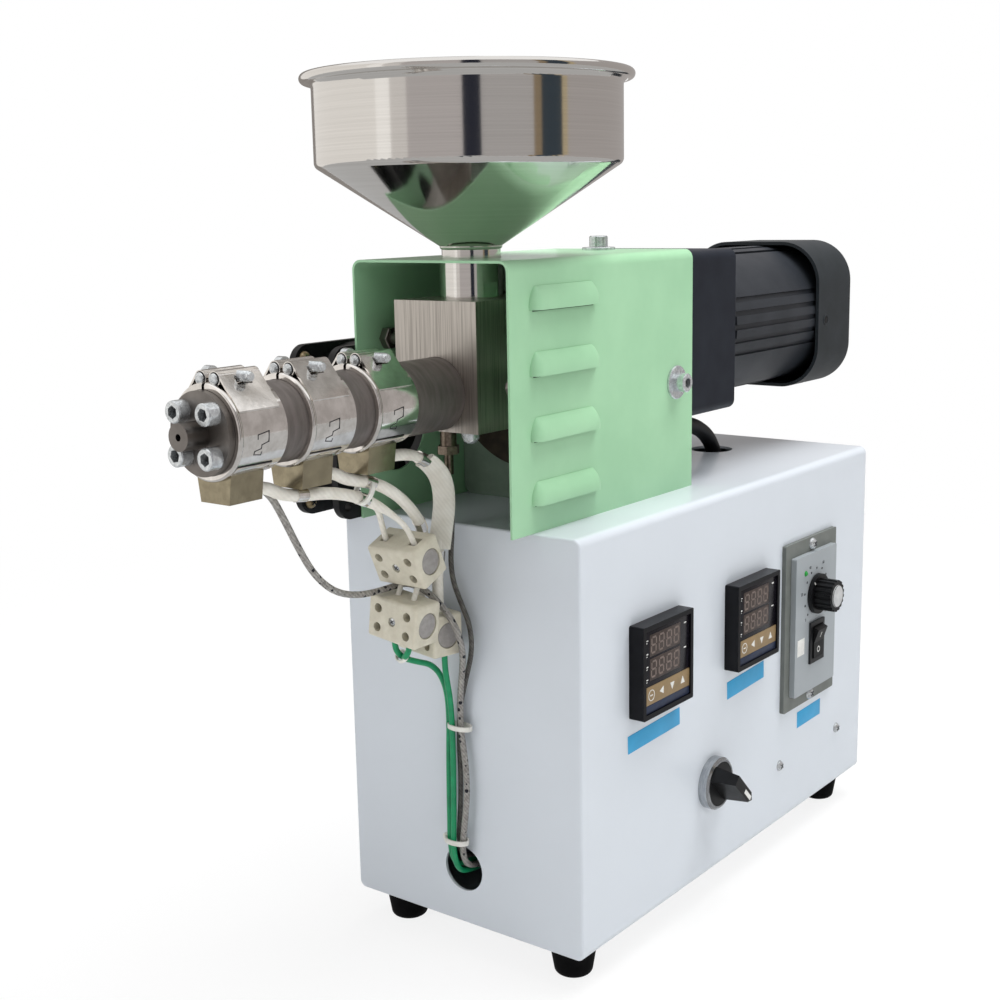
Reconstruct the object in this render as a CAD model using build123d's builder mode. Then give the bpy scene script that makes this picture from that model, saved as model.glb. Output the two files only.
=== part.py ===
from build123d import *
import math
import os

# A benchtop single screw extruder: a sheet-metal cabinet on rubber feet carries a green hood,
# a feed block with hopper and heated barrel, a gearmotor behind and a control panel on the right.
# Millimetres. +Z is up, the nozzle points to -Y and the control panel faces +X.
# The origin is the bottom centre of the bounding box, on the floor.

# Cabinet
CABINET_W = 148.0
CABINET_D = 318.0
CABINET_H = 212.0
CABINET_SHEET = 1.5
CABINET_BEND_R = 4.0
PANEL_EDGE_R = 1.2
FLANGE_W = 33.0
BASE_GAP = 0.3
FOOT_H = 18.0
FOOT_TOP_D = 25.0
FOOT_TIP_D = 19.0
FOOT_EDGE_R = 3.0
FOOT_INSET = 19.0
CABLE_HOLE_D = 24.0
CABLE_HOLE_RISE = 30.0
TOP_HOLE_D = 26.0
TOP_HOLE_SETBACK = 260.0
TOP_HOLE_SIDE = 4.0

# Hood and the plates inside it
HOOD_W = 95.0
HOOD_D = 163.0
HOOD_H = 128.0
HOOD_SHEET = 1.2
HOOD_BEND_R = 5.0
HOOD_OVERHANG = 16.0
HOOD_PORT_D = 46.0
LOUVRE_COUNT = 4
LOUVRE_PITCH = 30.5
LOUVRE_FIRST_RISE = 13.5
LOUVRE_L = 55.0
LOUVRE_H = 11.0
LOUVRE_DEPTH = 4.5
LOUVRE_SETBACK = 15.5
LOUVRE_TIP_SHARE = 0.2
LOUVRE_BULGE_SHARE = 0.7
PLATE_T = 12.0
PLATE_GAP = 0.3
BEARING_SETBACK = 74.0
BEARING_D = 92.0
BEARING_T = 7.0
BEARING_NECK_D = 44.0

# Barrel line
AXIS_RISE = 65.0
BLOCK_W = 50.0
BLOCK_D = 60.0
BLOCK_ABOVE = 44.0
BLOCK_BELOW = 18.0
BLOCK_SETBACK = 4.5
BARREL_D = 35.0
BARREL_BORE_D = 16.0
BARREL_INSERT = 50.0
BARREL_GAP = 0.15
FEED_BORE_D = 27.0
FEED_SLOT_D = 15.0
DIE_T = 9.0
NOZZLE_D = 11.4
NOZZLE_L = 11.0
NOZZLE_BORE_D = 3.0
NOZZLE_REACH = 170.0

# Band heaters
HEATER_COUNT = 3
HEATER_PITCH = 41.0
HEATER_L = 27.0
HEATER_T = 1.6
HEATER_LEAD_IN = 3.2
BEAD_R = 1.3
KNUCKLE_R = 3.3
KNUCKLE_LIFT = 2.4
KNUCKLE_PIN_R = 2.4
KNUCKLE_PIN_PROUD = 0.5
KNUCKLE_GAP = 1.6
KNUCKLE_L = 22.0
STRAP_T = 0.9
STRAP_ANGLE = 42.0
STRAP_TAIL_ANGLE = 20.0
STRAP_KNUCKLE_ANGLE = 50.0
STRAP_NOTCH_W = 8.0
STRAP_NOTCH_H = 5.0
BOX_TOP_W = 21.0
BOX_BOTTOM_W = 17.0
BOX_L = 18.0
BOX_TOP_DROP = 15.0
BOX_DROP = 29.5
BOX_SETBACK = 3.0
BOX_GAP = 0.1

# Hopper
HOPPER_SETBACK = 33.5
HOPPER_D = 147.5
HOPPER_RIM_D = 158.5
HOPPER_RIM_R = 2.4
HOPPER_CYLINDER_H = 40.0
HOPPER_FLARE_H = 3.5
HOPPER_CONE_H = 38.5
HOPPER_SHEET = 1.2
HOPPER_BEND_R = 3.0
SPOUT_D = 28.6
SPOUT_RISE = 5.5
SPOUT_DROP = 12.0
SPOUT_BEAD_R = 1.5
SLEEVE_D = 31.5
SLEEVE_GAP = 0.15
HOOD_HOLE_GAP = 0.5

# Gearmotor
GEARBOX_W = 90.0
GEARBOX_L = 62.0
GEARBOX_EDGE_R = 5.0
GEARBOX_OFFSET = 16.5
GEARBOX_SETBACK = 153.0
MOTOR_D = 86.4
MOTOR_L = 156.0
MOTOR_NECK_L = 6.0
MOTOR_NECK_W = 84.0
MOTOR_TAIL = 16.0
GROOVE_COUNT = 5
GROOVE_STEP = 10.5
GROOVE_W = 3.0
GROOVE_DEPTH = 1.4
GROOVE_SIDES = 4
GLAND_D = 14.0
GLAND_L = 3.5
GLAND_SETBACK = 4.0
COVER_GAP = 0.3
COVER_CORNER_R = 26.0
COVER_L = 50.0
COVER_WALL = 2.0
COVER_EDGE_R = 6.0
COVER_SLOT_W = 3.0
COVER_SLOT_L = 46.0
COVER_SLOT_COUNT = 8
COVER_SLOT_PITCH = 6.5

# Cooling fan
FAN_W = 86.0
FAN_T = 30.0
FAN_CORNER_R = 9.0
FAN_FLANGE_T = 4.0
FAN_DUCT_D = 84.0
FAN_DUCT_WALL = 2.0
FAN_FORWARD = 16.0
FAN_LIFT = 0.6
FAN_HUB_D = 36.0
FAN_HUB_T = 20.0
FAN_BLADE_COUNT = 5
FAN_BLADE_T = 1.8
FAN_BLADE_W = 20.0
FAN_TIP_GAP = 2.0
FAN_BLADE_TILT = 40.0
FAN_STRUT_W = 5.0
FAN_STRUT_T = 3.0
FAN_STRUT_COUNT = 4
FAN_HOLE_D = 4.3
FAN_HOLE_INSET = 6.5

# Control panel
CONTROLLER_W = 48.0
CONTROLLER_BEZEL_T = 8.5
CONTROLLER_BODY_W = 44.5
CONTROLLER_BODY_D = 60.0
CONTROLLER_RECESS = 1.2
CONTROLLER_RIM_W = 2.6
CONTROLLER_EDGE_R = 1.0
CONTROLLER_RISE = 137.0
CONTROLLER_1_SETBACK = 66.0
CONTROLLER_2_SETBACK = 162.0
PANEL_GAP = 0.25
SPEED_PLATE_W = 66.0
SPEED_PLATE_H = 101.0
SPEED_PLATE_T = 2.5
SPEED_FACE_W = 53.0
SPEED_FACE_H = 84.0
SPEED_FACE_T = 3.5
SPEED_EDGE_R = 1.2
SPEED_SETBACK = 238.0
SPEED_RISE = 119.0
KNOB_D = 19.0
KNOB_SKIRT_D = 24.0
KNOB_SKIRT_T = 2.5
KNOB_H = 13.0
KNOB_CAP_D = 13.0
KNOB_CAP_T = 0.7
KNOB_FLUTE_COUNT = 18
KNOB_FLUTE_R = 0.9
KNOB_RISE = 16.5
KNOB_GAP = 0.3
ROCKER_W = 12.0
ROCKER_H = 19.0
ROCKER_DISH = 0.7
ROCKER_UNDER = 1.2
ROCKER_TILT = 9.0
ROCKER_FRAME_W = 2.6
ROCKER_FRAME_T = 1.5
ROCKER_GAP = 0.5
ROCKER_DROP = 12.5
SELECTOR_BEZEL_D = 29.0
SELECTOR_BEZEL_T = 6.0
SELECTOR_DISC_D = 24.0
SELECTOR_DISC_T = 3.0
SELECTOR_LEVER_L = 27.0
SELECTOR_LEVER_W = 9.0
SELECTOR_LEVER_H = 14.0
SELECTOR_TAIL_SHARE = 0.44
SELECTOR_NOSE_SHARE = 0.34
SELECTOR_TAPER = 6.0
SELECTOR_BEVEL = 1.2
SELECTOR_TURN = -45.0
SELECTOR_SETBACK = 125.0
SELECTOR_RISE = 53.0
SELECTOR_GAP = 0.3
SELECTOR_SHANK_D = 22.0
SELECTOR_SHANK_L = 34.0

# Thermocouple fitting and ceramic terminal blocks
THERMO_D = 8.0
THERMO_L = 22.0
THERMO_NUT_D = 11.0
THERMO_NUT_T = 4.0
THERMO_NUT_DROP = 8.0
THERMO_PROBE_D = 4.5
THERMO_NECK_L = 12.0
THERMO_SETBACK = 8.0
TERMINAL_W = 30.0
TERMINAL_H = 21.0
TERMINAL_T = 18.0
TERMINAL_EDGE_R = 1.6
TERMINAL_RECESS_D = 13.0
TERMINAL_RECESS_T = 1.0
TERMINAL_HOLE_D = 4.6
TERMINAL_HOLE_DEPTH = 7.0
TERMINAL_HOLE_X_SHARE = 0.60
TERMINAL_HOLE_Z_SHARE = 0.46
TERMINAL_REAR_TURN = -12.0
TERMINAL_REAR_SIDE = 6.0
POCKET_W = 4.4
POCKET_T = 6.0
POCKET_DEPTH = 4.0
LINK_D = 2.6
LINK_SPREAD = 10.0
LINK_BITE = 1.0
LINK_DROP = 9.4
LINK_FORWARD = 6.4
LINK_LEAN = 7.0

# Arcs between the runs of a lead
CORD_ARC_SHARE = 0.45

# One overrun for every cut
CUT = 1.0

# Derived places
LEVER_OUTER = CABINET_W / 2 + SELECTOR_BEZEL_T + SELECTOR_LEVER_H
KNOB_OUTER = CABINET_W / 2 + SPEED_PLATE_T + SPEED_FACE_T + KNOB_GAP + KNOB_H + KNOB_CAP_T
FAN_OUTER = HOOD_W / 2 + FAN_T
MOTOR_REACH = GEARBOX_SETBACK - HOOD_OVERHANG + GEARBOX_L + MOTOR_L
AXIS_X = (max(FAN_OUTER, HOPPER_RIM_D / 2) - max(LEVER_OUTER, KNOB_OUTER)) / 2
FRONT_Y = (NOZZLE_REACH - MOTOR_REACH) / 2
BASE_Z = FOOT_H
TOP_Z = BASE_Z + CABINET_H
AXIS_Z = TOP_Z + AXIS_RISE
RIGHT_X = AXIS_X + CABINET_W / 2
HOOD_FRONT_Y = FRONT_Y - HOOD_OVERHANG
HOOD_TOP_Z = TOP_Z + HOOD_H
HOOD_INNER_W = HOOD_W - 2 * HOOD_SHEET
BLOCK_FRONT_Y = HOOD_FRONT_Y + BLOCK_SETBACK
BLOCK_TOP_Z = AXIS_Z + BLOCK_ABOVE
NOZZLE_Y = FRONT_Y - NOZZLE_REACH
DIE_Y = NOZZLE_Y + NOZZLE_L
BARREL_Y = DIE_Y + DIE_T
HEATER_R = BARREL_D / 2 + BARREL_GAP + HEATER_T
HOPPER_Y = HOOD_FRONT_Y + HOPPER_SETBACK
BEARING_Y = HOOD_FRONT_Y + BEARING_SETBACK
GEARBOX_Y = HOOD_FRONT_Y + GEARBOX_SETBACK
GEARBOX_Z = AXIS_Z + GEARBOX_OFFSET
MOTOR_Y = GEARBOX_Y + GEARBOX_L
MOTOR_END_Y = MOTOR_Y + MOTOR_L
CONE_Z = HOOD_TOP_Z + SPOUT_RISE
CYLINDER_Z = CONE_Z + HOPPER_CONE_H
RIM_Z = CYLINDER_Z + HOPPER_CYLINDER_H
FAN_X = AXIS_X - HOOD_W / 2
FAN_Y = HOOD_FRONT_Y - FAN_FORWARD + FAN_W / 2
FAN_Z = TOP_Z + FAN_LIFT + FAN_W / 2
SPEED_Y = FRONT_Y + SPEED_SETBACK
SPEED_Z = BASE_Z + SPEED_RISE
SPEED_FACE_X = RIGHT_X + SPEED_PLATE_T + SPEED_FACE_T
KNOB_Z = SPEED_Z + KNOB_RISE
ROCKER_Z = SPEED_Z - ROCKER_DROP
SELECTOR_Y = FRONT_Y + SELECTOR_SETBACK
SELECTOR_Z = BASE_Z + SELECTOR_RISE
GLAND_Y = MOTOR_Y + MOTOR_NECK_L + GLAND_SETBACK
GLAND_Z = GEARBOX_Z - MOTOR_D / 2 - GLAND_L
COVER_W = MOTOR_D + 2 * COVER_GAP + 2 * COVER_WALL
CABINET_FRONT = (AXIS_X, FRONT_Y, 0)
GLAND_TIP = (AXIS_X, GLAND_Y, GLAND_Z)

# Free leads: each route is a list of points from one fastened end to the other, from its own origin.
CORDS = (
    (
        "heater_lead_1",
        5.6,
        CABINET_FRONT,
        (
            (0.0, -134.8, 268.6),
            (0.0, -126.0, 268.6),
            (-0.05, -116.0, 263.2),
            (-0.25, -104.0, 260.9),
            (-0.55, -87.5, 259.4),
            (-1.55, -71.0, 255.4),
            (-2.95, -57.0, 249.6),
            (-3.85, -45.1, 242.1),
            (-4.05, -38.6, 234.0),
            (-4.05, -35.9, 227.8),
        ),
    ),
    (
        "heater_lead_2",
        5.6,
        CABINET_FRONT,
        (
            (0.0, -93.8, 268.6),
            (0.0, -85.0, 268.6),
            (0.15, -75.0, 263.0),
            (0.65, -61.0, 260.6),
            (1.25, -45.5, 253.0),
            (0.25, -31.1, 241.4),
            (-3.75, -19.5, 229.4),
            (-9.15, -13.7, 215.0),
            (-13.15, -12.9, 201.0),
            (-13.15, -12.9, 188.0),
        ),
    ),
    (
        "heater_lead_3",
        5.6,
        CABINET_FRONT,
        (
            (0.0, -52.8, 270.0),
            (0.0, -41.5, 270.0),
            (-0.05, -29.0, 268.0),
            (0.05, -17.5, 262.6),
            (0.05, -9.1, 253.5),
            (-0.05, -7.3, 241.5),
            (-0.35, -10.1, 228.0),
            (-1.05, -12.5, 214.0),
            (-1.55, -12.7, 200.5),
            (-1.55, -12.7, 188.0),
        ),
    ),
    (
        "braid_lead",
        3.2,
        CABINET_FRONT,
        (
            (-5.35, -134.8, 268.6),
            (-5.35, -126.0, 268.6),
            (-5.95, -116.5, 262.6),
            (-6.55, -109.0, 251.0),
            (-7.35, -100.5, 236.5),
            (-8.75, -90.0, 221.5),
            (-10.35, -76.5, 210.5),
            (-11.95, -61.0, 204.8),
            (-12.95, -45.5, 202.9),
            (-13.35, -32.0, 202.9),
            (-11.95, -25.1, 203.2),
            (-8.35, -20.9, 201.6),
            (-2.25, -18.7, 198.2),
            (4.75, -18.1, 193.2),
            (10.45, -17.1, 186.4),
            (13.25, -14.7, 177.5),
            (11.65, -10.5, 166.5),
            (7.65, -7.1, 155.0),
            (4.65, -5.3, 141.0),
            (4.25, -4.7, 125.0),
            (6.65, -4.7, 109.0),
            (7.45, -4.7, 93.0),
            (5.85, -5.3, 77.0),
            (4.05, -5.9, 62.5),
            (3.65, -2.9, 52.6),
            (3.75, 5.0, 49.0),
            (3.75, 13.5, 48.0),
        ),
    ),
    (
        "thermo_lead",
        2.6,
        CABINET_FRONT,
        (
            (0.0, -3.5, 255.0),
            (0.0, -3.5, 247.0),
            (0.85, -3.1, 237.0),
            (2.25, -5.2, 226.0),
            (3.05, -7.9, 214.0),
            (4.25, -8.1, 203.0),
            (8.45, -7.1, 192.0),
            (13.05, -6.3, 181.0),
            (12.65, -4.5, 168.0),
            (6.65, -2.7, 152.0),
            (1.65, -2.3, 135.0),
            (0.95, -2.3, 117.0),
            (1.45, -2.3, 99.0),
            (1.05, -2.7, 82.0),
            (0.05, -3.5, 68.0),
            (-0.15, -2.1, 58.4),
            (-0.15, 4.0, 53.2),
            (-0.15, 12.0, 52.2),
        ),
    ),
    (
        "green_lead_1",
        3.0,
        CABINET_FRONT,
        (
            (-11.573, -33.915, 178.892),
            (-12.06, -33.915, 174.922),
            (-11.75, -32.7, 170.2),
            (-9.95, -28.9, 166.2),
            (-7.15, -22.5, 163.4),
            (-5.15, -15.5, 160.8),
            (-3.95, -9.7, 154.6),
            (-2.55, -6.3, 144.4),
            (-3.15, -4.7, 129.0),
            (-3.95, -4.7, 111.0),
            (-4.15, -4.9, 94.0),
            (-3.95, -5.3, 77.0),
            (-3.75, -5.9, 62.0),
            (-3.45, -3.0, 51.5),
            (-3.35, 5.0, 48.0),
            (-3.35, 13.5, 47.4),
        ),
    ),
    (
        "green_lead_2",
        3.0,
        CABINET_FRONT,
        (
            (2.25, -13.5, 166.98),
            (2.25, -13.5, 160.5),
            (1.95, -11.9, 153.0),
            (1.05, -8.9, 143.5),
            (0.25, -6.7, 130.0),
            (-0.25, -5.9, 112.0),
            (-0.35, -6.1, 94.0),
            (-0.15, -6.9, 76.0),
            (0.05, -8.1, 60.0),
            (0.05, -4.5, 49.0),
            (0.05, 4.5, 45.4),
            (0.05, 13.5, 44.8),
        ),
    ),
    (
        "motor_cable",
        9.5,
        GLAND_TIP,
        (
            (0.0, 0.0, 0.0),
            (0.0, 0.0, -6.2),
            (-0.15, 3.8, -11.6),
            (-0.65, 12.0, -14.4),
            (-1.75, 24.0, -17.4),
            (-2.95, 36.0, -23.2),
            (-3.75, 45.3, -30.2),
            (-4.15, 51.7, -39.6),
            (-4.25, 54.0, -50.8),
        ),
    ),
)

BARREL_AXIS = Axis((AXIS_X, 0, AXIS_Z), (0, 1, 0))
HOPPER_AXIS = Axis((AXIS_X, HOPPER_Y, 0), (0, 0, 1))

os.makedirs("parts", exist_ok=True)


def save(node, part):
    """Label a finished piece with its node's name and write it."""
    part.label = node
    export_step(part, "parts/" + node + ".step")


def facing_front(x, y, z):
    """A plane that faces -Y, with its own x along +X and its own y along +Z."""
    return Plane(origin=(x, y, z), x_dir=(1, 0, 0), z_dir=(0, -1, 0))


def facing_right(x, y, z):
    """A plane that faces +X, with its own x along +Y and its own y along +Z."""
    return Plane(origin=(x, y, z), x_dir=(0, 1, 0), z_dir=(1, 0, 0))


# Cabinet wrap: the top and both sides are one folded sheet, with flanges turned in at the foot.
WRAP_X = CABINET_W / 2 - CABINET_SHEET / 2
WRAP_TOP = CABINET_H - CABINET_SHEET / 2
with BuildPart() as cabinet_wrap:
    with BuildSketch(facing_front(AXIS_X, FRONT_Y + CABINET_SHEET, BASE_Z)):
        with BuildLine():
            fold = FilletPolyline(
                (-CABINET_W / 2 + FLANGE_W, CABINET_SHEET / 2),
                (-WRAP_X, CABINET_SHEET / 2),
                (-WRAP_X, WRAP_TOP),
                (WRAP_X, WRAP_TOP),
                (WRAP_X, CABINET_SHEET / 2),
                (CABINET_W / 2 - FLANGE_W, CABINET_SHEET / 2),
                radius=CABINET_BEND_R - CABINET_SHEET / 2,
            )
            offset(fold, amount=CABINET_SHEET / 2, side=Side.BOTH)
        make_face()
    extrude(amount=-(CABINET_D - 2 * CABINET_SHEET))
    with Locations((AXIS_X - TOP_HOLE_SIDE, FRONT_Y + TOP_HOLE_SETBACK, TOP_Z)):
        Hole(radius=TOP_HOLE_D / 2, depth=CABINET_SHEET + CUT)
    for setback in (CONTROLLER_1_SETBACK, CONTROLLER_2_SETBACK):
        with BuildSketch(facing_right(RIGHT_X, FRONT_Y + setback, BASE_Z + CONTROLLER_RISE)):
            Rectangle(CONTROLLER_BODY_W + 2 * PANEL_GAP, CONTROLLER_BODY_W + 2 * PANEL_GAP)
        extrude(amount=-(CABINET_SHEET + CUT), mode=Mode.SUBTRACT)
    with BuildSketch(facing_right(RIGHT_X, SELECTOR_Y, SELECTOR_Z)):
        Circle(SELECTOR_SHANK_D / 2 + PANEL_GAP)
    extrude(amount=-(CABINET_SHEET + CUT), mode=Mode.SUBTRACT)
save("cabinet_wrap", cabinet_wrap.part)

# End panels: flat sheets with the wrap's rounded outline; the front one has the cable hole.
END_PANELS = (("cabinet_front", FRONT_Y, True), ("cabinet_back", FRONT_Y + CABINET_D, False))
for node, panel_y, hole in END_PANELS:
    inward = 1 if hole else -1
    with BuildPart() as end_panel:
        with BuildSketch(facing_front(AXIS_X, panel_y, BASE_Z + CABINET_H / 2)):
            RectangleRounded(CABINET_W, CABINET_H, CABINET_BEND_R)
            if hole:
                with Locations((0, CABLE_HOLE_RISE - CABINET_H / 2)):
                    Circle(CABLE_HOLE_D / 2, mode=Mode.SUBTRACT)
        extrude(amount=-inward * CABINET_SHEET)
        outer_face = end_panel.faces().sort_by(Axis.Y)[0 if hole else -1]
        fillet(outer_face.outer_wire().edges(), PANEL_EDGE_R)
    save(node, end_panel.part)

# Base sheet: lies on the wrap's flanges and closes the cabinet from below.
with BuildPart() as cabinet_base:
    with BuildSketch(Plane.XY.offset(BASE_Z + CABINET_SHEET)):
        with Locations((AXIS_X, FRONT_Y + CABINET_D / 2)):
            Rectangle(
                CABINET_W - 2 * CABINET_BEND_R - 2 * BASE_GAP,
                CABINET_D - 2 * CABINET_SHEET - 2 * BASE_GAP,
            )
    extrude(amount=CABINET_SHEET)
save("cabinet_base", cabinet_base.part)

# Rubber feet: tapered, with a rounded tip.
FOOT_X = CABINET_W / 2 - FOOT_INSET
FOOT_Y = CABINET_D / 2 - FOOT_INSET
for side_name, side in (("left", -1), ("right", 1)):
    for end_name, end in (("front", -1), ("rear", 1)):
        foot_plane = Plane(origin=(AXIS_X + side * FOOT_X, FRONT_Y + CABINET_D / 2 + end * FOOT_Y, 0))
        with BuildPart() as foot:
            with BuildSketch(foot_plane):
                Circle(FOOT_TIP_D / 2)
            with BuildSketch(foot_plane.offset(FOOT_H)):
                Circle(FOOT_TOP_D / 2)
            loft()
            fillet(foot.edges().sort_by(Axis.Z)[0], FOOT_EDGE_R)
        save("foot_" + end_name + "_" + side_name, foot.part)

# Hood: one sheet bent over the block, with louvres pressed outwards in its right wall.
HOOD_X = HOOD_W / 2 - HOOD_SHEET / 2


def add_louvre(base_x, base_z, depth, height, inset, mode):
    """Add or cut one louvre: a bulged ridge with rounded ends, open below."""
    start = HOOD_FRONT_Y + LOUVRE_SETBACK + inset + depth
    end = HOOD_FRONT_Y + LOUVRE_SETBACK + LOUVRE_L - inset - depth
    for y, turn in ((start, -90), (end, 90)):
        with BuildSketch(facing_front(base_x, y, base_z), mode=Mode.PRIVATE) as ridge:
            with BuildLine():
                tip = depth * LOUVRE_TIP_SHARE
                middle = (depth * LOUVRE_BULGE_SHARE, height * LOUVRE_BULGE_SHARE)
                ThreePointArc((depth, 0), middle, (tip, height))
                Polyline((tip, height), (0, height), (0, 0), (depth, 0))
            make_face()
        revolve(ridge.sketch, axis=Axis((base_x, y, base_z), (0, 0, 1)), revolution_arc=turn, mode=mode)
    extrude(ridge.sketch, amount=end - start, mode=mode)


with BuildPart() as hood:
    with BuildSketch(facing_front(AXIS_X, HOOD_FRONT_Y, TOP_Z)):
        with BuildLine():
            bend = FilletPolyline(
                (-HOOD_X, 0),
                (-HOOD_X, HOOD_H - HOOD_SHEET / 2),
                (HOOD_X, HOOD_H - HOOD_SHEET / 2),
                (HOOD_X, 0),
                radius=HOOD_BEND_R - HOOD_SHEET / 2,
            )
            offset(bend, amount=HOOD_SHEET / 2, side=Side.BOTH)
        make_face()
        with Locations((0, -HOOD_SHEET / 2)):
            Rectangle(HOOD_W + CUT, HOOD_SHEET, mode=Mode.SUBTRACT)
    extrude(amount=-HOOD_D)
    with Locations((AXIS_X, HOPPER_Y, HOOD_TOP_Z)):
        Hole(radius=SPOUT_D / 2 + HOOD_HOLE_GAP, depth=HOOD_SHEET + CUT)
    with BuildSketch(facing_right(FAN_X, FAN_Y, FAN_Z)):
        Circle(HOOD_PORT_D / 2)
    extrude(amount=HOOD_SHEET + CUT, mode=Mode.SUBTRACT)
    wall_x = AXIS_X + HOOD_W / 2
    slot_y = HOOD_FRONT_Y + LOUVRE_SETBACK + LOUVRE_L / 2
    hollow_h = LOUVRE_H - HOOD_SHEET
    for row in range(LOUVRE_COUNT):
        slot_z = TOP_Z + LOUVRE_FIRST_RISE + row * LOUVRE_PITCH
        add_louvre(wall_x - HOOD_SHEET / 2, slot_z, LOUVRE_DEPTH + HOOD_SHEET / 2, LOUVRE_H, 0, Mode.ADD)
        hollow = LOUVRE_DEPTH - HOOD_SHEET
        add_louvre(wall_x, slot_z - CUT, hollow, hollow_h + CUT, HOOD_SHEET, Mode.SUBTRACT)
        with BuildSketch(facing_right(wall_x, slot_y, slot_z + hollow_h / 2)):
            Rectangle(LOUVRE_L - 2 * LOUVRE_DEPTH, hollow_h)
        extrude(amount=-(HOOD_SHEET + CUT), mode=Mode.SUBTRACT)
save("hood", hood.part)

# Feed block: a milled block, bored from the front for the barrel and from above for the feed.
with BuildPart() as feed_block:
    with BuildSketch(facing_front(AXIS_X, BLOCK_FRONT_Y, AXIS_Z + (BLOCK_ABOVE - BLOCK_BELOW) / 2)):
        Rectangle(BLOCK_W, BLOCK_ABOVE + BLOCK_BELOW)
    extrude(amount=-BLOCK_D)
    with BuildSketch(facing_front(AXIS_X, BLOCK_FRONT_Y, AXIS_Z)):
        Circle(BARREL_D / 2 + BARREL_GAP)
    extrude(amount=-BARREL_INSERT, mode=Mode.SUBTRACT)
    with BuildSketch(Plane.XY.offset(AXIS_Z)):
        with Locations((AXIS_X, HOPPER_Y)):
            Circle(FEED_BORE_D / 2)
    extrude(amount=BLOCK_ABOVE + CUT, mode=Mode.SUBTRACT)
save("feed_block", feed_block.part)

# Barrel: a thick tube with a feed opening under the hopper.
with BuildPart() as barrel:
    with BuildSketch(facing_front(AXIS_X, BARREL_Y, AXIS_Z)):
        Circle(BARREL_D / 2)
        Circle(BARREL_BORE_D / 2, mode=Mode.SUBTRACT)
    extrude(amount=-(BLOCK_FRONT_Y + BARREL_INSERT - BARREL_Y))
    with BuildSketch(Plane.XY.offset(AXIS_Z)):
        with Locations((AXIS_X, HOPPER_Y)):
            Circle(FEED_SLOT_D / 2)
    extrude(amount=BARREL_D / 2 + CUT, mode=Mode.SUBTRACT)
save("barrel", barrel.part)

# Die: a disc bolted on the barrel's end, with the nozzle standing out of it.
with BuildPart() as die:
    with BuildSketch(facing_front(AXIS_X, BARREL_Y, AXIS_Z)):
        Circle(BARREL_D / 2)
    extrude(amount=DIE_T)
    with BuildSketch(facing_front(AXIS_X, DIE_Y, AXIS_Z)):
        Circle(NOZZLE_D / 2)
    extrude(amount=NOZZLE_L)
    with BuildSketch(facing_front(AXIS_X, NOZZLE_Y, AXIS_Z)):
        Circle(NOZZLE_BORE_D / 2)
    extrude(amount=-(NOZZLE_L + DIE_T + CUT), mode=Mode.SUBTRACT)
save("die", die.part)

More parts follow.
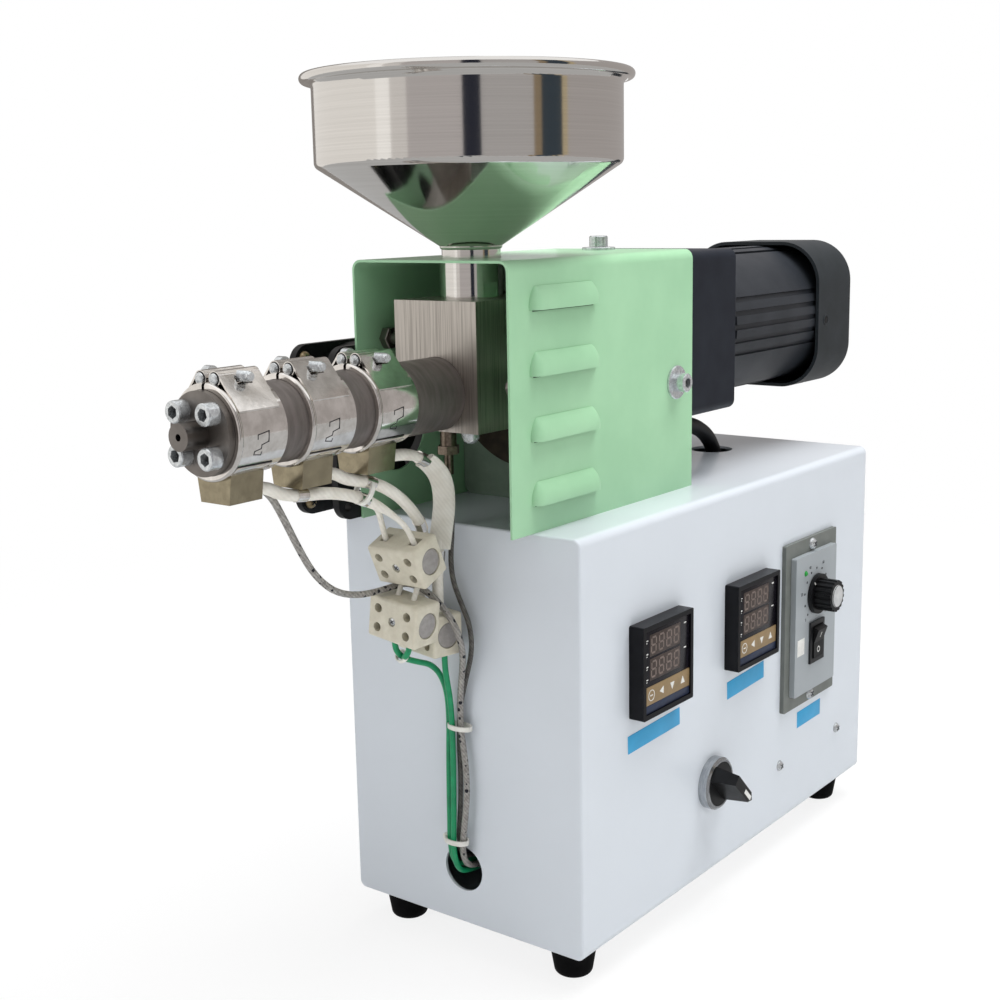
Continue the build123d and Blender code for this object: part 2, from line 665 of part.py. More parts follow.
# Band heaters: a rolled band with a bead at the front, closed on top by two knuckles with pins
# and straps, and a terminal box below.
KNUCKLE_X = KNUCKLE_GAP / 2 + KNUCKLE_R
KNUCKLE_Z = HEATER_R + KNUCKLE_LIFT
STRAP_R = HEATER_R + STRAP_T / 2
STRAP_START = math.radians(STRAP_KNUCKLE_ANGLE)
STRAP_END = math.radians(STRAP_ANGLE)
STRAP_TAIL = math.radians(STRAP_ANGLE + STRAP_TAIL_ANGLE)
STRAP_K = KNUCKLE_R - STRAP_T / 2
for number in range(HEATER_COUNT):
    band_y = DIE_Y + HEATER_LEAD_IN + number * HEATER_PITCH
    knuckle_y = band_y + (HEATER_L - KNUCKLE_L) / 2
    with BuildPart() as band:
        with BuildSketch(Plane(origin=(AXIS_X, band_y, AXIS_Z))):
            with Locations((HEATER_R - HEATER_T / 2, HEATER_L / 2)):
                Rectangle(HEATER_T, HEATER_L)
            with Locations((HEATER_R - HEATER_T + BEAD_R, BEAD_R)):
                Circle(BEAD_R)
        revolve(axis=BARREL_AXIS)
        for side in (-1, 1):
            with BuildSketch(facing_front(AXIS_X, knuckle_y, AXIS_Z)):
                with Locations((side * KNUCKLE_X, KNUCKLE_Z)):
                    Circle(KNUCKLE_R)
                with BuildLine():
                    strap = Polyline(
                        (
                            side * (KNUCKLE_X + STRAP_K * math.cos(STRAP_START)),
                            KNUCKLE_Z + STRAP_K * math.sin(STRAP_START),
                        ),
                        (side * STRAP_R * math.sin(STRAP_END), STRAP_R * math.cos(STRAP_END)),
                        (side * STRAP_R * math.sin(STRAP_TAIL), STRAP_R * math.cos(STRAP_TAIL)),
                    )
                    offset(strap, amount=STRAP_T / 2, side=Side.BOTH)
                make_face()
            extrude(amount=-KNUCKLE_L)
            with BuildSketch(facing_front(AXIS_X, knuckle_y - KNUCKLE_PIN_PROUD, AXIS_Z)):
                with Locations((side * KNUCKLE_X, KNUCKLE_Z)):
                    Circle(KNUCKLE_PIN_R)
            extrude(amount=-(KNUCKLE_L + 2 * KNUCKLE_PIN_PROUD))
            with BuildSketch(facing_front(AXIS_X, band_y + (HEATER_L - STRAP_NOTCH_W) / 2, AXIS_Z)):
                with Locations((side * (KNUCKLE_X + KNUCKLE_R + STRAP_NOTCH_H / 2), KNUCKLE_Z)):
                    Rectangle(STRAP_NOTCH_H, STRAP_NOTCH_H)
            extrude(amount=-STRAP_NOTCH_W, mode=Mode.SUBTRACT)
        with BuildSketch(facing_front(AXIS_X, band_y, AXIS_Z)):
            with Locations((0, HEATER_R)):
                Rectangle(KNUCKLE_GAP, 4 * KNUCKLE_R)
        extrude(amount=-HEATER_L, mode=Mode.SUBTRACT)
        with BuildSketch(facing_front(AXIS_X, band_y, AXIS_Z)):
            Circle(BARREL_D / 2 + BARREL_GAP)
        extrude(amount=-HEATER_L, mode=Mode.SUBTRACT)
    save("heater_band_" + str(number + 1), band.part)

    with BuildPart() as terminal_box:
        with BuildSketch(facing_front(AXIS_X, band_y + BOX_SETBACK, AXIS_Z)):
            with BuildLine():
                Polyline(
                    (-BOX_TOP_W / 2, -BOX_TOP_DROP),
                    (-BOX_BOTTOM_W / 2, -BOX_DROP),
                    (BOX_BOTTOM_W / 2, -BOX_DROP),
                    (BOX_TOP_W / 2, -BOX_TOP_DROP),
                    close=True,
                )
            make_face()
            Circle(HEATER_R + BOX_GAP, mode=Mode.SUBTRACT)
        extrude(amount=-BOX_L)
    save("terminal_box_" + str(number + 1), terminal_box.part)

# Thermocouple fitting: a threaded sleeve in the block's underside, a hexagon nut and a thin probe.
THERMO_Y = BLOCK_FRONT_Y + THERMO_SETBACK
THERMO_Z = AXIS_Z - BLOCK_BELOW
with BuildPart() as thermocouple:
    with BuildSketch(Plane(origin=(AXIS_X, THERMO_Y, THERMO_Z))):
        Circle(THERMO_D / 2)
    extrude(amount=-THERMO_NECK_L)
    with BuildSketch(Plane(origin=(AXIS_X, THERMO_Y, THERMO_Z - THERMO_NUT_DROP))):
        RegularPolygon(THERMO_NUT_D / 2, 6)
    extrude(amount=-THERMO_NUT_T)
    with BuildSketch(Plane(origin=(AXIS_X, THERMO_Y, THERMO_Z - THERMO_NECK_L))):
        Circle(THERMO_PROBE_D / 2)
    extrude(amount=-(THERMO_L - THERMO_NECK_L))
save("thermocouple", thermocouple.part)

# Feed sleeve: a short tube between the block and the hood, around the hopper's spout.
with BuildPart() as feed_sleeve:
    with BuildSketch(Plane(origin=(AXIS_X, HOPPER_Y, BLOCK_TOP_Z))):
        Circle(SLEEVE_D / 2)
        Circle(SPOUT_D / 2 + SLEEVE_GAP, mode=Mode.SUBTRACT)
    extrude(amount=HOOD_TOP_Z - HOOD_SHEET - PLATE_GAP - BLOCK_TOP_Z)
save("feed_sleeve", feed_sleeve.part)

# Hopper: spun sheet with spout, cone, cylinder and a rolled rim.
SPOUT_R = SPOUT_D / 2 - HOPPER_SHEET / 2
BOWL_R = HOPPER_D / 2 - HOPPER_SHEET / 2
RIM_R = HOPPER_RIM_D / 2 - HOPPER_RIM_R
with BuildPart() as hopper:
    with BuildSketch(Plane(origin=(AXIS_X, HOPPER_Y, 0), x_dir=(1, 0, 0), z_dir=(0, -1, 0))):
        with BuildLine():
            wall = FilletPolyline(
                (SPOUT_R, HOOD_TOP_Z - SPOUT_DROP),
                (SPOUT_R, CONE_Z),
                (BOWL_R, CYLINDER_Z),
                (BOWL_R, RIM_Z - HOPPER_FLARE_H),
                (RIM_R, RIM_Z),
                radius=HOPPER_BEND_R,
            )
            offset(wall, amount=HOPPER_SHEET / 2, side=Side.BOTH)
        make_face()
        with Locations((RIM_R, RIM_Z)):
            Circle(HOPPER_RIM_R)
        with Locations((SPOUT_R, CONE_Z)):
            Circle(SPOUT_BEAD_R)
    revolve(axis=HOPPER_AXIS)
    with BuildSketch(Plane(origin=(AXIS_X, HOPPER_Y, HOOD_TOP_Z - SPOUT_DROP))):
        Circle(SPOUT_R - HOPPER_SHEET / 2)
    extrude(amount=SPOUT_DROP + SPOUT_RISE, mode=Mode.SUBTRACT)
save("hopper", hopper.part)

# Bearing flange: a round housing between the block and the bearing plate.
with BuildPart() as bearing_flange:
    with BuildSketch(facing_front(AXIS_X, BEARING_Y, AXIS_Z)):
        Circle(BEARING_D / 2)
    extrude(amount=-BEARING_T)
    with BuildSketch(facing_front(AXIS_X, BEARING_Y, AXIS_Z)):
        Circle(BEARING_NECK_D / 2)
    extrude(amount=BEARING_Y - BLOCK_FRONT_Y - BLOCK_D)
save("bearing_flange", bearing_flange.part)

# Upright plates: one carries the bearing flange, the other the gearbox.
PLATE_W = HOOD_INNER_W - 2 * PLATE_GAP
PLATE_H = HOOD_H - HOOD_SHEET - PLATE_GAP
for node, plate_y in (("bearing_plate", BEARING_Y + BEARING_T), ("gearbox_plate", GEARBOX_Y - PLATE_T)):
    with BuildPart() as plate:
        with BuildSketch(facing_front(AXIS_X, plate_y, TOP_Z + PLATE_H / 2)):
            RectangleRounded(PLATE_W, PLATE_H, HOOD_BEND_R)
        extrude(amount=-PLATE_T)
    save(node, plate.part)

# Gearbox: a square housing with rounded edges.
with BuildPart() as gearbox:
    with BuildSketch(facing_front(AXIS_X, GEARBOX_Y, GEARBOX_Z)):
        RectangleRounded(GEARBOX_W, GEARBOX_W, GEARBOX_EDGE_R)
    extrude(amount=-GEARBOX_L)
save("gearbox", gearbox.part)

# Motor: a neck on the gearbox, a round body with groups of grooves and a cable gland below.
with BuildPart() as motor:
    with BuildSketch(facing_front(AXIS_X, MOTOR_Y, GEARBOX_Z)):
        RectangleRounded(MOTOR_NECK_W, MOTOR_NECK_W, COVER_CORNER_R)
    extrude(amount=-MOTOR_NECK_L)
    with BuildSketch(facing_front(AXIS_X, MOTOR_Y + MOTOR_NECK_L, GEARBOX_Z)):
        Circle(MOTOR_D / 2)
        for quarter in range(GROOVE_SIDES):
            middle = quarter * 360 / GROOVE_SIDES
            first = middle - (GROOVE_COUNT - 1) * GROOVE_STEP / 2
            with PolarLocations(MOTOR_D / 2, GROOVE_COUNT, first, GROOVE_COUNT * GROOVE_STEP):
                Rectangle(2 * GROOVE_DEPTH, GROOVE_W, mode=Mode.SUBTRACT)
    extrude(amount=-(MOTOR_L - MOTOR_NECK_L - MOTOR_TAIL))
    with BuildSketch(Plane(origin=GLAND_TIP)):
        Circle(GLAND_D / 2)
    extrude(amount=GLAND_L + MOTOR_D / 4)
save("motor", motor.part)

# Fan cover: a cup with a rounded square outline over the motor's end, slotted at the rear.
with BuildPart() as motor_fan_cover:
    with BuildSketch(facing_front(AXIS_X, MOTOR_END_Y, GEARBOX_Z)):
        RectangleRounded(COVER_W, COVER_W, COVER_CORNER_R)
    extrude(amount=COVER_L)
    fillet(motor_fan_cover.faces().sort_by(Axis.Y)[-1].edges(), COVER_EDGE_R)
    with BuildSketch(facing_front(AXIS_X, MOTOR_END_Y - COVER_WALL, GEARBOX_Z)):
        RectangleRounded(
            COVER_W - 2 * COVER_WALL,
            COVER_W - 2 * COVER_WALL,
            COVER_CORNER_R - COVER_WALL,
        )
    extrude(amount=COVER_L, mode=Mode.SUBTRACT)
    with BuildSketch(facing_front(AXIS_X, MOTOR_END_Y, GEARBOX_Z)):
        with GridLocations(0, COVER_SLOT_PITCH, 1, COVER_SLOT_COUNT):
            SlotOverall(COVER_SLOT_L, COVER_SLOT_W)
    extrude(amount=COVER_WALL + CUT, mode=Mode.SUBTRACT)
save("motor_fan_cover", motor_fan_cover.part)

# Cooling fan frame: two flanges with rounded corners, a duct between them and struts to the hub.
with BuildPart() as fan_frame:
    for flange_x in (FAN_X - FAN_T, FAN_X - FAN_FLANGE_T):
        with BuildSketch(facing_right(flange_x, FAN_Y, FAN_Z)):
            RectangleRounded(FAN_W, FAN_W, FAN_CORNER_R)
            with GridLocations(FAN_W - 2 * FAN_HOLE_INSET, FAN_W - 2 * FAN_HOLE_INSET, 2, 2):
                Circle(FAN_HOLE_D / 2, mode=Mode.SUBTRACT)
        extrude(amount=FAN_FLANGE_T)
    with BuildSketch(facing_right(FAN_X - FAN_T, FAN_Y, FAN_Z)):
        Circle(FAN_DUCT_D / 2)
    extrude(amount=FAN_T)
    with BuildSketch(facing_right(FAN_X - FAN_T, FAN_Y, FAN_Z)):
        Circle(FAN_DUCT_D / 2 - FAN_DUCT_WALL)
    extrude(amount=FAN_T, mode=Mode.SUBTRACT)
    with BuildSketch(facing_right(FAN_X - FAN_STRUT_T, FAN_Y, FAN_Z)):
        Circle(FAN_HUB_D / 2)
        with PolarLocations(FAN_DUCT_D / 4, FAN_STRUT_COUNT):
            Rectangle(FAN_DUCT_D / 2 - FAN_DUCT_WALL, FAN_STRUT_W)
    extrude(amount=FAN_STRUT_T)
save("fan_frame", fan_frame.part)

# Cooling fan rotor: a hub with tilted blades, running on the strut's hub.
BLADE_L = FAN_DUCT_D / 2 - FAN_DUCT_WALL - FAN_TIP_GAP - FAN_HUB_D / 2
with BuildPart() as fan_rotor:
    with BuildSketch(facing_right(FAN_X - FAN_STRUT_T - PLATE_GAP, FAN_Y, FAN_Z)):
        Circle(FAN_HUB_D / 2)
    extrude(amount=-FAN_HUB_T)
    for blade in range(FAN_BLADE_COUNT):
        turn = math.radians(blade * 360 / FAN_BLADE_COUNT)
        outward = Vector(0, math.cos(turn), math.sin(turn))
        across = Vector(0, -math.sin(turn), math.cos(turn))
        pitch = math.radians(FAN_BLADE_TILT)
        chord = across * math.cos(pitch) + Vector(1, 0, 0) * math.sin(pitch)
        middle_x = FAN_X - FAN_STRUT_T - PLATE_GAP - FAN_HUB_T / 2
        root = Vector(middle_x, FAN_Y, FAN_Z) + outward * (FAN_HUB_D / 4)
        with BuildSketch(Plane(origin=root, x_dir=chord, z_dir=outward)):
            RectangleRounded(FAN_BLADE_W, FAN_BLADE_T, FAN_BLADE_T / 3)
        extrude(amount=BLADE_L + FAN_HUB_D / 4)
save("fan_rotor", fan_rotor.part)

# Temperature controllers: a square bezel on the panel, a recessed face and a body behind.
CONTROLLER_PLACES = (
    ("heat_controller", CONTROLLER_1_SETBACK),
    ("cooling_controller", CONTROLLER_2_SETBACK),
)
for node, setback in CONTROLLER_PLACES:
    centre = (RIGHT_X, FRONT_Y + setback, BASE_Z + CONTROLLER_RISE)
    with BuildPart() as controller:
        with BuildSketch(facing_right(*centre)):
            Rectangle(CONTROLLER_W, CONTROLLER_W)
        extrude(amount=CONTROLLER_BEZEL_T)
        fillet(controller.edges().filter_by(Axis.X), CONTROLLER_EDGE_R)
        with BuildSketch(facing_right(*centre).offset(CONTROLLER_BEZEL_T)):
            Rectangle(CONTROLLER_W - 2 * CONTROLLER_RIM_W, CONTROLLER_W - 2 * CONTROLLER_RIM_W)
        extrude(amount=-CONTROLLER_RECESS, mode=Mode.SUBTRACT)
        with BuildSketch(facing_right(*centre)):
            Rectangle(CONTROLLER_BODY_W, CONTROLLER_BODY_W)
        extrude(amount=-CONTROLLER_BODY_D)
    save(node, controller.part)

# Speed control: a flanged plate with a raised face, a frame and a pocket for the rocker.
ROCKER_POCKET_W = ROCKER_W + 2 * ROCKER_GAP
ROCKER_POCKET_H = ROCKER_H + 2 * ROCKER_GAP
with BuildPart() as speed_plate:
    with BuildSketch(facing_right(RIGHT_X, SPEED_Y, SPEED_Z)):
        RectangleRounded(SPEED_PLATE_W, SPEED_PLATE_H, SPEED_EDGE_R)
    extrude(amount=SPEED_PLATE_T)
    with BuildSketch(facing_right(RIGHT_X + SPEED_PLATE_T, SPEED_Y, SPEED_Z)):
        RectangleRounded(SPEED_FACE_W, SPEED_FACE_H, SPEED_EDGE_R)
    extrude(amount=SPEED_FACE_T)
    with BuildSketch(facing_right(SPEED_FACE_X, SPEED_Y, ROCKER_Z)):
        Rectangle(ROCKER_POCKET_W + 2 * ROCKER_FRAME_W, ROCKER_POCKET_H + 2 * ROCKER_FRAME_W)
    extrude(amount=ROCKER_FRAME_T)
    with BuildSketch(facing_right(SPEED_FACE_X + ROCKER_FRAME_T, SPEED_Y, ROCKER_Z)):
        Rectangle(ROCKER_POCKET_W, ROCKER_POCKET_H)
    extrude(amount=-(ROCKER_FRAME_T + SPEED_FACE_T), mode=Mode.SUBTRACT)
save("speed_plate", speed_plate.part)

# Rocker: its ends are arcs about the pivot and its face is two flats; it rests with its foot pressed in.
ROCKER_R = ROCKER_H / 2
ROCKER_FACE = ROCKER_FRAME_T + ROCKER_DISH
ROCKER_LIP = ROCKER_FACE + ROCKER_R * math.tan(math.radians(ROCKER_TILT))
ROCKER_LIP_Z = math.sqrt(ROCKER_R**2 - ROCKER_LIP**2)
ROCKER_UNDER_Z = math.sqrt(ROCKER_R**2 - ROCKER_UNDER**2)
ROCKER_REST = math.radians(-ROCKER_TILT)
with BuildPart() as rocker_switch:
    rocker_plane = Plane(
        origin=(SPEED_FACE_X, SPEED_Y + ROCKER_W / 2, ROCKER_Z),
        x_dir=(math.cos(ROCKER_REST), 0, math.sin(ROCKER_REST)),
        z_dir=(0, -1, 0),
    )
    with BuildSketch(rocker_plane):
        with BuildLine():
            Line((-ROCKER_UNDER, -ROCKER_UNDER_Z), (-ROCKER_UNDER, ROCKER_UNDER_Z))
            ThreePointArc((-ROCKER_UNDER, ROCKER_UNDER_Z), (0, ROCKER_R), (ROCKER_LIP, ROCKER_LIP_Z))
            Line((ROCKER_LIP, ROCKER_LIP_Z), (ROCKER_FACE, 0))
            Line((ROCKER_FACE, 0), (ROCKER_LIP, -ROCKER_LIP_Z))
            ThreePointArc((ROCKER_LIP, -ROCKER_LIP_Z), (0, -ROCKER_R), (-ROCKER_UNDER, -ROCKER_UNDER_Z))
        make_face()
    extrude(amount=ROCKER_W)
save("rocker_switch", rocker_switch.part)

# Speed knob: a skirt, a fluted grip and a bright cap.
with BuildPart() as speed_knob:
    with BuildSketch(facing_right(SPEED_FACE_X + KNOB_GAP, SPEED_Y, KNOB_Z)):
        Circle(KNOB_SKIRT_D / 2)
    extrude(amount=KNOB_SKIRT_T)
    with BuildSketch(facing_right(SPEED_FACE_X + KNOB_GAP, SPEED_Y, KNOB_Z)):
        Circle(KNOB_D / 2)
        with PolarLocations(KNOB_D / 2, KNOB_FLUTE_COUNT):
            Circle(KNOB_FLUTE_R, mode=Mode.SUBTRACT)
    extrude(amount=KNOB_H)
    with BuildSketch(facing_right(SPEED_FACE_X + KNOB_GAP + KNOB_H, SPEED_Y, KNOB_Z)):
        Circle(KNOB_CAP_D / 2)
    extrude(amount=KNOB_CAP_T)
save("speed_knob", speed_knob.part)

# Selector bezel: a bevelled metal ring on the panel with its shank through the cabinet's side.
with BuildPart() as selector_bezel:
    with BuildSketch(facing_right(RIGHT_X, SELECTOR_Y, SELECTOR_Z)):
        Circle(SELECTOR_BEZEL_D / 2)
    extrude(amount=SELECTOR_BEZEL_T)
    chamfer(selector_bezel.faces().sort_by(Axis.X)[-1].edges(), SELECTOR_BEVEL)
    with BuildSketch(facing_right(RIGHT_X, SELECTOR_Y, SELECTOR_Z)):
        Circle(SELECTOR_SHANK_D / 2)
    extrude(amount=-SELECTOR_SHANK_L)
    with BuildSketch(facing_right(RIGHT_X + SELECTOR_BEZEL_T, SELECTOR_Y, SELECTOR_Z)):
        Circle(SELECTOR_DISC_D / 2 + SELECTOR_GAP)
    extrude(amount=-(SELECTOR_DISC_T + SELECTOR_GAP), mode=Mode.SUBTRACT)
save("selector_bezel", selector_bezel.part)

# Selector lever: a disc in the bezel with a pointed grip across it, turned to its resting place.
SELECTOR_NOSE = SELECTOR_LEVER_L * (1 - SELECTOR_TAIL_SHARE)
SELECTOR_TAIL = SELECTOR_LEVER_L * SELECTOR_TAIL_SHARE
SELECTOR_CHEEK = SELECTOR_NOSE * (1 - SELECTOR_NOSE_SHARE)
SELECTOR_ANGLE = math.radians(SELECTOR_TURN)
with BuildPart() as selector_lever:
    with BuildSketch(facing_right(RIGHT_X + SELECTOR_BEZEL_T, SELECTOR_Y, SELECTOR_Z)):
        Circle(SELECTOR_DISC_D / 2)
    extrude(amount=-SELECTOR_DISC_T)
    lever_plane = Plane(
        origin=(RIGHT_X + SELECTOR_BEZEL_T, SELECTOR_Y, SELECTOR_Z),
        x_dir=(0, math.cos(SELECTOR_ANGLE), math.sin(SELECTOR_ANGLE)),
        z_dir=(1, 0, 0),
    )
    with BuildSketch(lever_plane):
        with BuildLine():
            Polyline(
                (-SELECTOR_TAIL, -SELECTOR_LEVER_W / 2),
                (SELECTOR_CHEEK, -SELECTOR_LEVER_W / 2),
                (SELECTOR_NOSE, 0),
                (SELECTOR_CHEEK, SELECTOR_LEVER_W / 2),
                (-SELECTOR_TAIL, SELECTOR_LEVER_W / 2),
                close=True,
            )
        make_face()
    extrude(amount=SELECTOR_LEVER_H, taper=SELECTOR_TAPER)
save("selector_lever", selector_lever.part)

# Ceramic terminal blocks that hang on the leads: screw holes in front, round recesses at the ends
# and, in the upper one, two pockets for the wires from above.
ROUTES = {
    node: [Vector(*origin) + Vector(*point) for point in points]
    for node, diameter, origin, points in CORDS
}


def hanging(seat, up, turn):
    """A plane at the middle of a block whose top face is at a seat, facing the front."""
    front = Plane(origin=seat - up * (TERMINAL_H / 2), x_dir=Vector(0, -1, 0).cross(up) * -1, z_dir=up)
    front = front.rotated((0, 0, turn))
    return Plane(origin=front.origin, x_dir=front.x_dir, z_dir=front.y_dir * -1)


def end_of(node):
    """The last point of a lead's route and the direction back along its last run."""
    before, last = ROUTES[node][-2:]
    return last, (before - last).normalized()


upper_plane = hanging(*end_of("heater_lead_1"), 0)
rear_seat, rear_up = end_of("heater_lead_3")
rear_plane = hanging(rear_seat - Vector(TERMINAL_REAR_SIDE, 0, 0), rear_up, TERMINAL_REAR_TURN)
lower_up = Vector(math.sin(math.radians(LINK_LEAN)), 0, math.cos(math.radians(LINK_LEAN)))
upper_foot = upper_plane.origin - upper_plane.y_dir * (TERMINAL_H / 2)
lower_plane = hanging(upper_foot - Vector(0, LINK_FORWARD, LINK_DROP), lower_up, 0)
TERMINAL_PLANES = (
    ("terminal_block_upper", upper_plane, True),
    ("terminal_block_lower", lower_plane, False),
    ("terminal_block_rear", rear_plane, False),
)
hole_step_x = TERMINAL_W * TERMINAL_HOLE_X_SHARE
hole_step_z = TERMINAL_H * TERMINAL_HOLE_Z_SHARE
for node, block_plane, open_top in TERMINAL_PLANES:
    with BuildPart() as terminal:
        with BuildSketch(block_plane.offset(-TERMINAL_T / 2)):
            Rectangle(TERMINAL_W, TERMINAL_H)
        extrude(amount=TERMINAL_T)
        fillet(terminal.edges(), TERMINAL_EDGE_R)
        with BuildSketch(block_plane.offset(TERMINAL_T / 2)):
            with GridLocations(hole_step_x, hole_step_z, 2, 2):
                Circle(TERMINAL_HOLE_D / 2)
            Circle(TERMINAL_HOLE_D / 2)
        extrude(amount=-TERMINAL_HOLE_DEPTH, mode=Mode.SUBTRACT)
        for side in (-1, 1):
            end_origin = block_plane.origin + block_plane.x_dir * (side * TERMINAL_W / 2)
            end_normal = block_plane.x_dir * side
            with BuildSketch(Plane(origin=end_origin, x_dir=block_plane.y_dir, z_dir=end_normal)):
                Circle(TERMINAL_RECESS_D / 2)
            extrude(amount=-TERMINAL_RECESS_T, mode=Mode.SUBTRACT)
        if open_top:
            top = block_plane.origin + block_plane.y_dir * (TERMINAL_H / 2)
            with BuildSketch(Plane(origin=top, x_dir=block_plane.x_dir, z_dir=block_plane.y_dir)):
                with GridLocations(hole_step_x, 0, 2, 1):
                    Rectangle(POCKET_W, POCKET_T)
            extrude(amount=-POCKET_DEPTH, mode=Mode.SUBTRACT)
    save(node, terminal.part)

# Link leads: two short wires from the upper block's foot into the lower block's top.
with BuildPart() as link_leads:
    for side in (-1, 1):
        spread = side * LINK_SPREAD / 2
        start = upper_foot + upper_plane.x_dir * spread + upper_plane.y_dir * LINK_BITE
        seat = lower_plane.origin + lower_plane.y_dir * (TERMINAL_H / 2 - LINK_BITE)
        finish = seat + lower_plane.x_dir * spread
        with BuildSketch(Plane(origin=start, z_dir=finish - start)):
            Circle(LINK_D / 2)
        extrude(amount=(finish - start).length)
save("link_leads", link_leads.part)


def add_cord(node, diameter):
    """Sweep a plain tube along straight runs joined by arcs as large as the runs allow."""
    route = ROUTES[node]
    radii = []
    for before, here, after in zip(route, route[1:], route[2:]):
        shorter = min((here - before).length, (after - here).length)
        turn = math.radians((here - before).get_angle(after - here))
        radii.append(CORD_ARC_SHARE * shorter / math.tan(turn / 2))
    with BuildPart() as cord:
        with BuildLine() as path:
            FilletPolyline(*route, radius=radii)
        with BuildSketch(Plane(origin=path.line @ 0, z_dir=path.line % 0)):
            Circle(diameter / 2)
        sweep()
    length = sum(edge.length for edge in path.edges())
    ratio = cord.part.volume / (math.pi * diameter**2 / 4 * length)
    print(node, "length", round(length, 1), "volume ratio", round(ratio, 4))
    print("  radii in diameters", [round(radius / diameter, 1) for radius in radii])
    save(node, cord.part)


for node, diameter, origin, points in CORDS:
    add_cord(node, diameter)
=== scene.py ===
"""Looks, light and camera of a benchtop single screw extruder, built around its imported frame."""
import logging
import math
from dataclasses import dataclass, field
from enum import Enum
from typing import Any, Iterator, Sequence

import bmesh
import bpy
from mathutils import Matrix, Vector


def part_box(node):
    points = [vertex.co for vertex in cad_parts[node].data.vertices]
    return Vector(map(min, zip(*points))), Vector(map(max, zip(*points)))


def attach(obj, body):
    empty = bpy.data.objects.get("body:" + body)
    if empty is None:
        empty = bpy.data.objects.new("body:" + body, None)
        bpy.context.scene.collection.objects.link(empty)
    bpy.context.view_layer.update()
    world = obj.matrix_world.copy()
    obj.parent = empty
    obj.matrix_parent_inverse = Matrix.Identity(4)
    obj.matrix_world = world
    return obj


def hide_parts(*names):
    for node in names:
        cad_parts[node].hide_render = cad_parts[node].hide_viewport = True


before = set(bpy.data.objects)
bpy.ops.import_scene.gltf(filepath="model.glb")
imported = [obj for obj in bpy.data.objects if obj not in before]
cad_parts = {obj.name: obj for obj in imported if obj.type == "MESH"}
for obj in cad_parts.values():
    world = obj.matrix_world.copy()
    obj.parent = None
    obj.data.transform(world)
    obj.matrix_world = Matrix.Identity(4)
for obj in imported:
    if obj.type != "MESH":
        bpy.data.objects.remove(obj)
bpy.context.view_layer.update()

MM = 0.001
MERGE_MM = 1e-4
LOG = logging.getLogger("extruder")
Point = tuple[float, float, float]
Size = float | Point
Pair = tuple[float, float]
Profile = Sequence[Pair]
Edges = list[bmesh.types.BMEdge]
Shape = bmesh.types.BMesh
Piece = bpy.types.Object
Tree = bpy.types.NodeTree
Socket = bpy.types.NodeSocket

# Places of the real machine in millimetres, the same as in the CAD source.
AXIS_X = -7.375
AXIS_Z = 295.0
TOP_Z = 230.0
RIGHT_X = 66.625
HOOD_TOP_Z = 358.0
HOOD_RIGHT_X = 40.125
HOOD_LEFT_X = -54.875
DIE_Y = -251.5
BAND_Y = (-248.3, -207.3, -166.3)
BAND_L = 27.0
BAND_R = 19.25
KNUCKLE_RISE = 2.4
KNUCKLE_Z = AXIS_Z + BAND_R + KNUCKLE_RISE
WINDOW_DEPTH = 7.3
PANEL_FACE_X = RIGHT_X + WINDOW_DEPTH
SPEED_Y = 145.5
SPEED_BASE = 2.5
SPEED_BASE_X = RIGHT_X + SPEED_BASE
SPEED_FACE_X = 72.625
STEP_MARGIN = 0.2
KNOB_Z = 153.5
ROCKER_Z = 124.5
SELECTOR_Y = 32.5
SELECTOR_Z = 71.0
CABINET_FRONT = (AXIS_X, -92.5, 0.0)
GLAND_TIP = (AXIS_X, 116.5, 264.8)

# The outline of a domed screw head and the black bars of painted shade that draw its cross recess, as shares
# of its diameter and height.
DOME_SHARES = ((0.0, 1.0), (0.16, 0.97), (0.3, 0.84), (0.42, 0.56), (0.49, 0.22), (0.5, 0.0))
CROSS_SHARES = (0.5, 0.11, 0.12)
CROSS_LEVEL_SHARE = 0.9
CROSS_TURNS = (45.0, 135.0)
# A cap screw's rounded edge and flat ring as shares of its head, its socket's depth, and the black disc of
# painted shade on the socket's floor.
CAP_EDGE_SHARE = 0.05
CAP_RING_SHARE = 0.36
SOCKET_FLOOR_SHARE = 0.45
SOCKET_SHADE_SHARES = ((0.0, 0.5), (0.49, 0.5), (0.49, 0.46))
# How finely a lead and a single wire are rounded, and drawn between two points.
LEAD_SMOOTH = (5, 10)
STRAND_SMOOTH = (4, 12)


class Facing(Enum):
    """The direction that a fitted piece looks in."""

    RIGHT = (1.0, 0.0, 0.0)
    LEFT = (-1.0, 0.0, 0.0)
    FRONT = (0.0, -1.0, 0.0)
    BACK = (0.0, 1.0, 0.0)
    UP = (0.0, 0.0, 1.0)
    DOWN = (0.0, 0.0, -1.0)


class Body(Enum):
    """The frame's bodies."""

    MACHINE = "machine"
    KNOB = "knob"
    ROCKER = "rocker"
    SELECTOR = "selector"


class FarEnd(Enum):
    """What a lead ends in."""

    OBJECT = "object"
    CONNECTOR = "connector"


class Stiffness(Enum):
    """How a lead holds its shape."""

    LIMP = "limp"
    MEDIUM = "medium"
    STIFF = "stiff"


def linear(hexadecimal: str) -> tuple[float, float, float, float]:
    """Turn an sRGB colour into the linear one that a shader takes.

    Args:
        hexadecimal: Six digits, such as "A0B0C0".

    Returns:
        Red, green, blue and an alpha of one.
    """
    parts = [int(hexadecimal[i : i + 2], 16) / 255 for i in (0, 2, 4)]
    red, green, blue = (c / 12.92 if c <= 0.04045 else ((c + 0.055) / 1.055) ** 2.4 for c in parts)
    return red, green, blue, 1.0


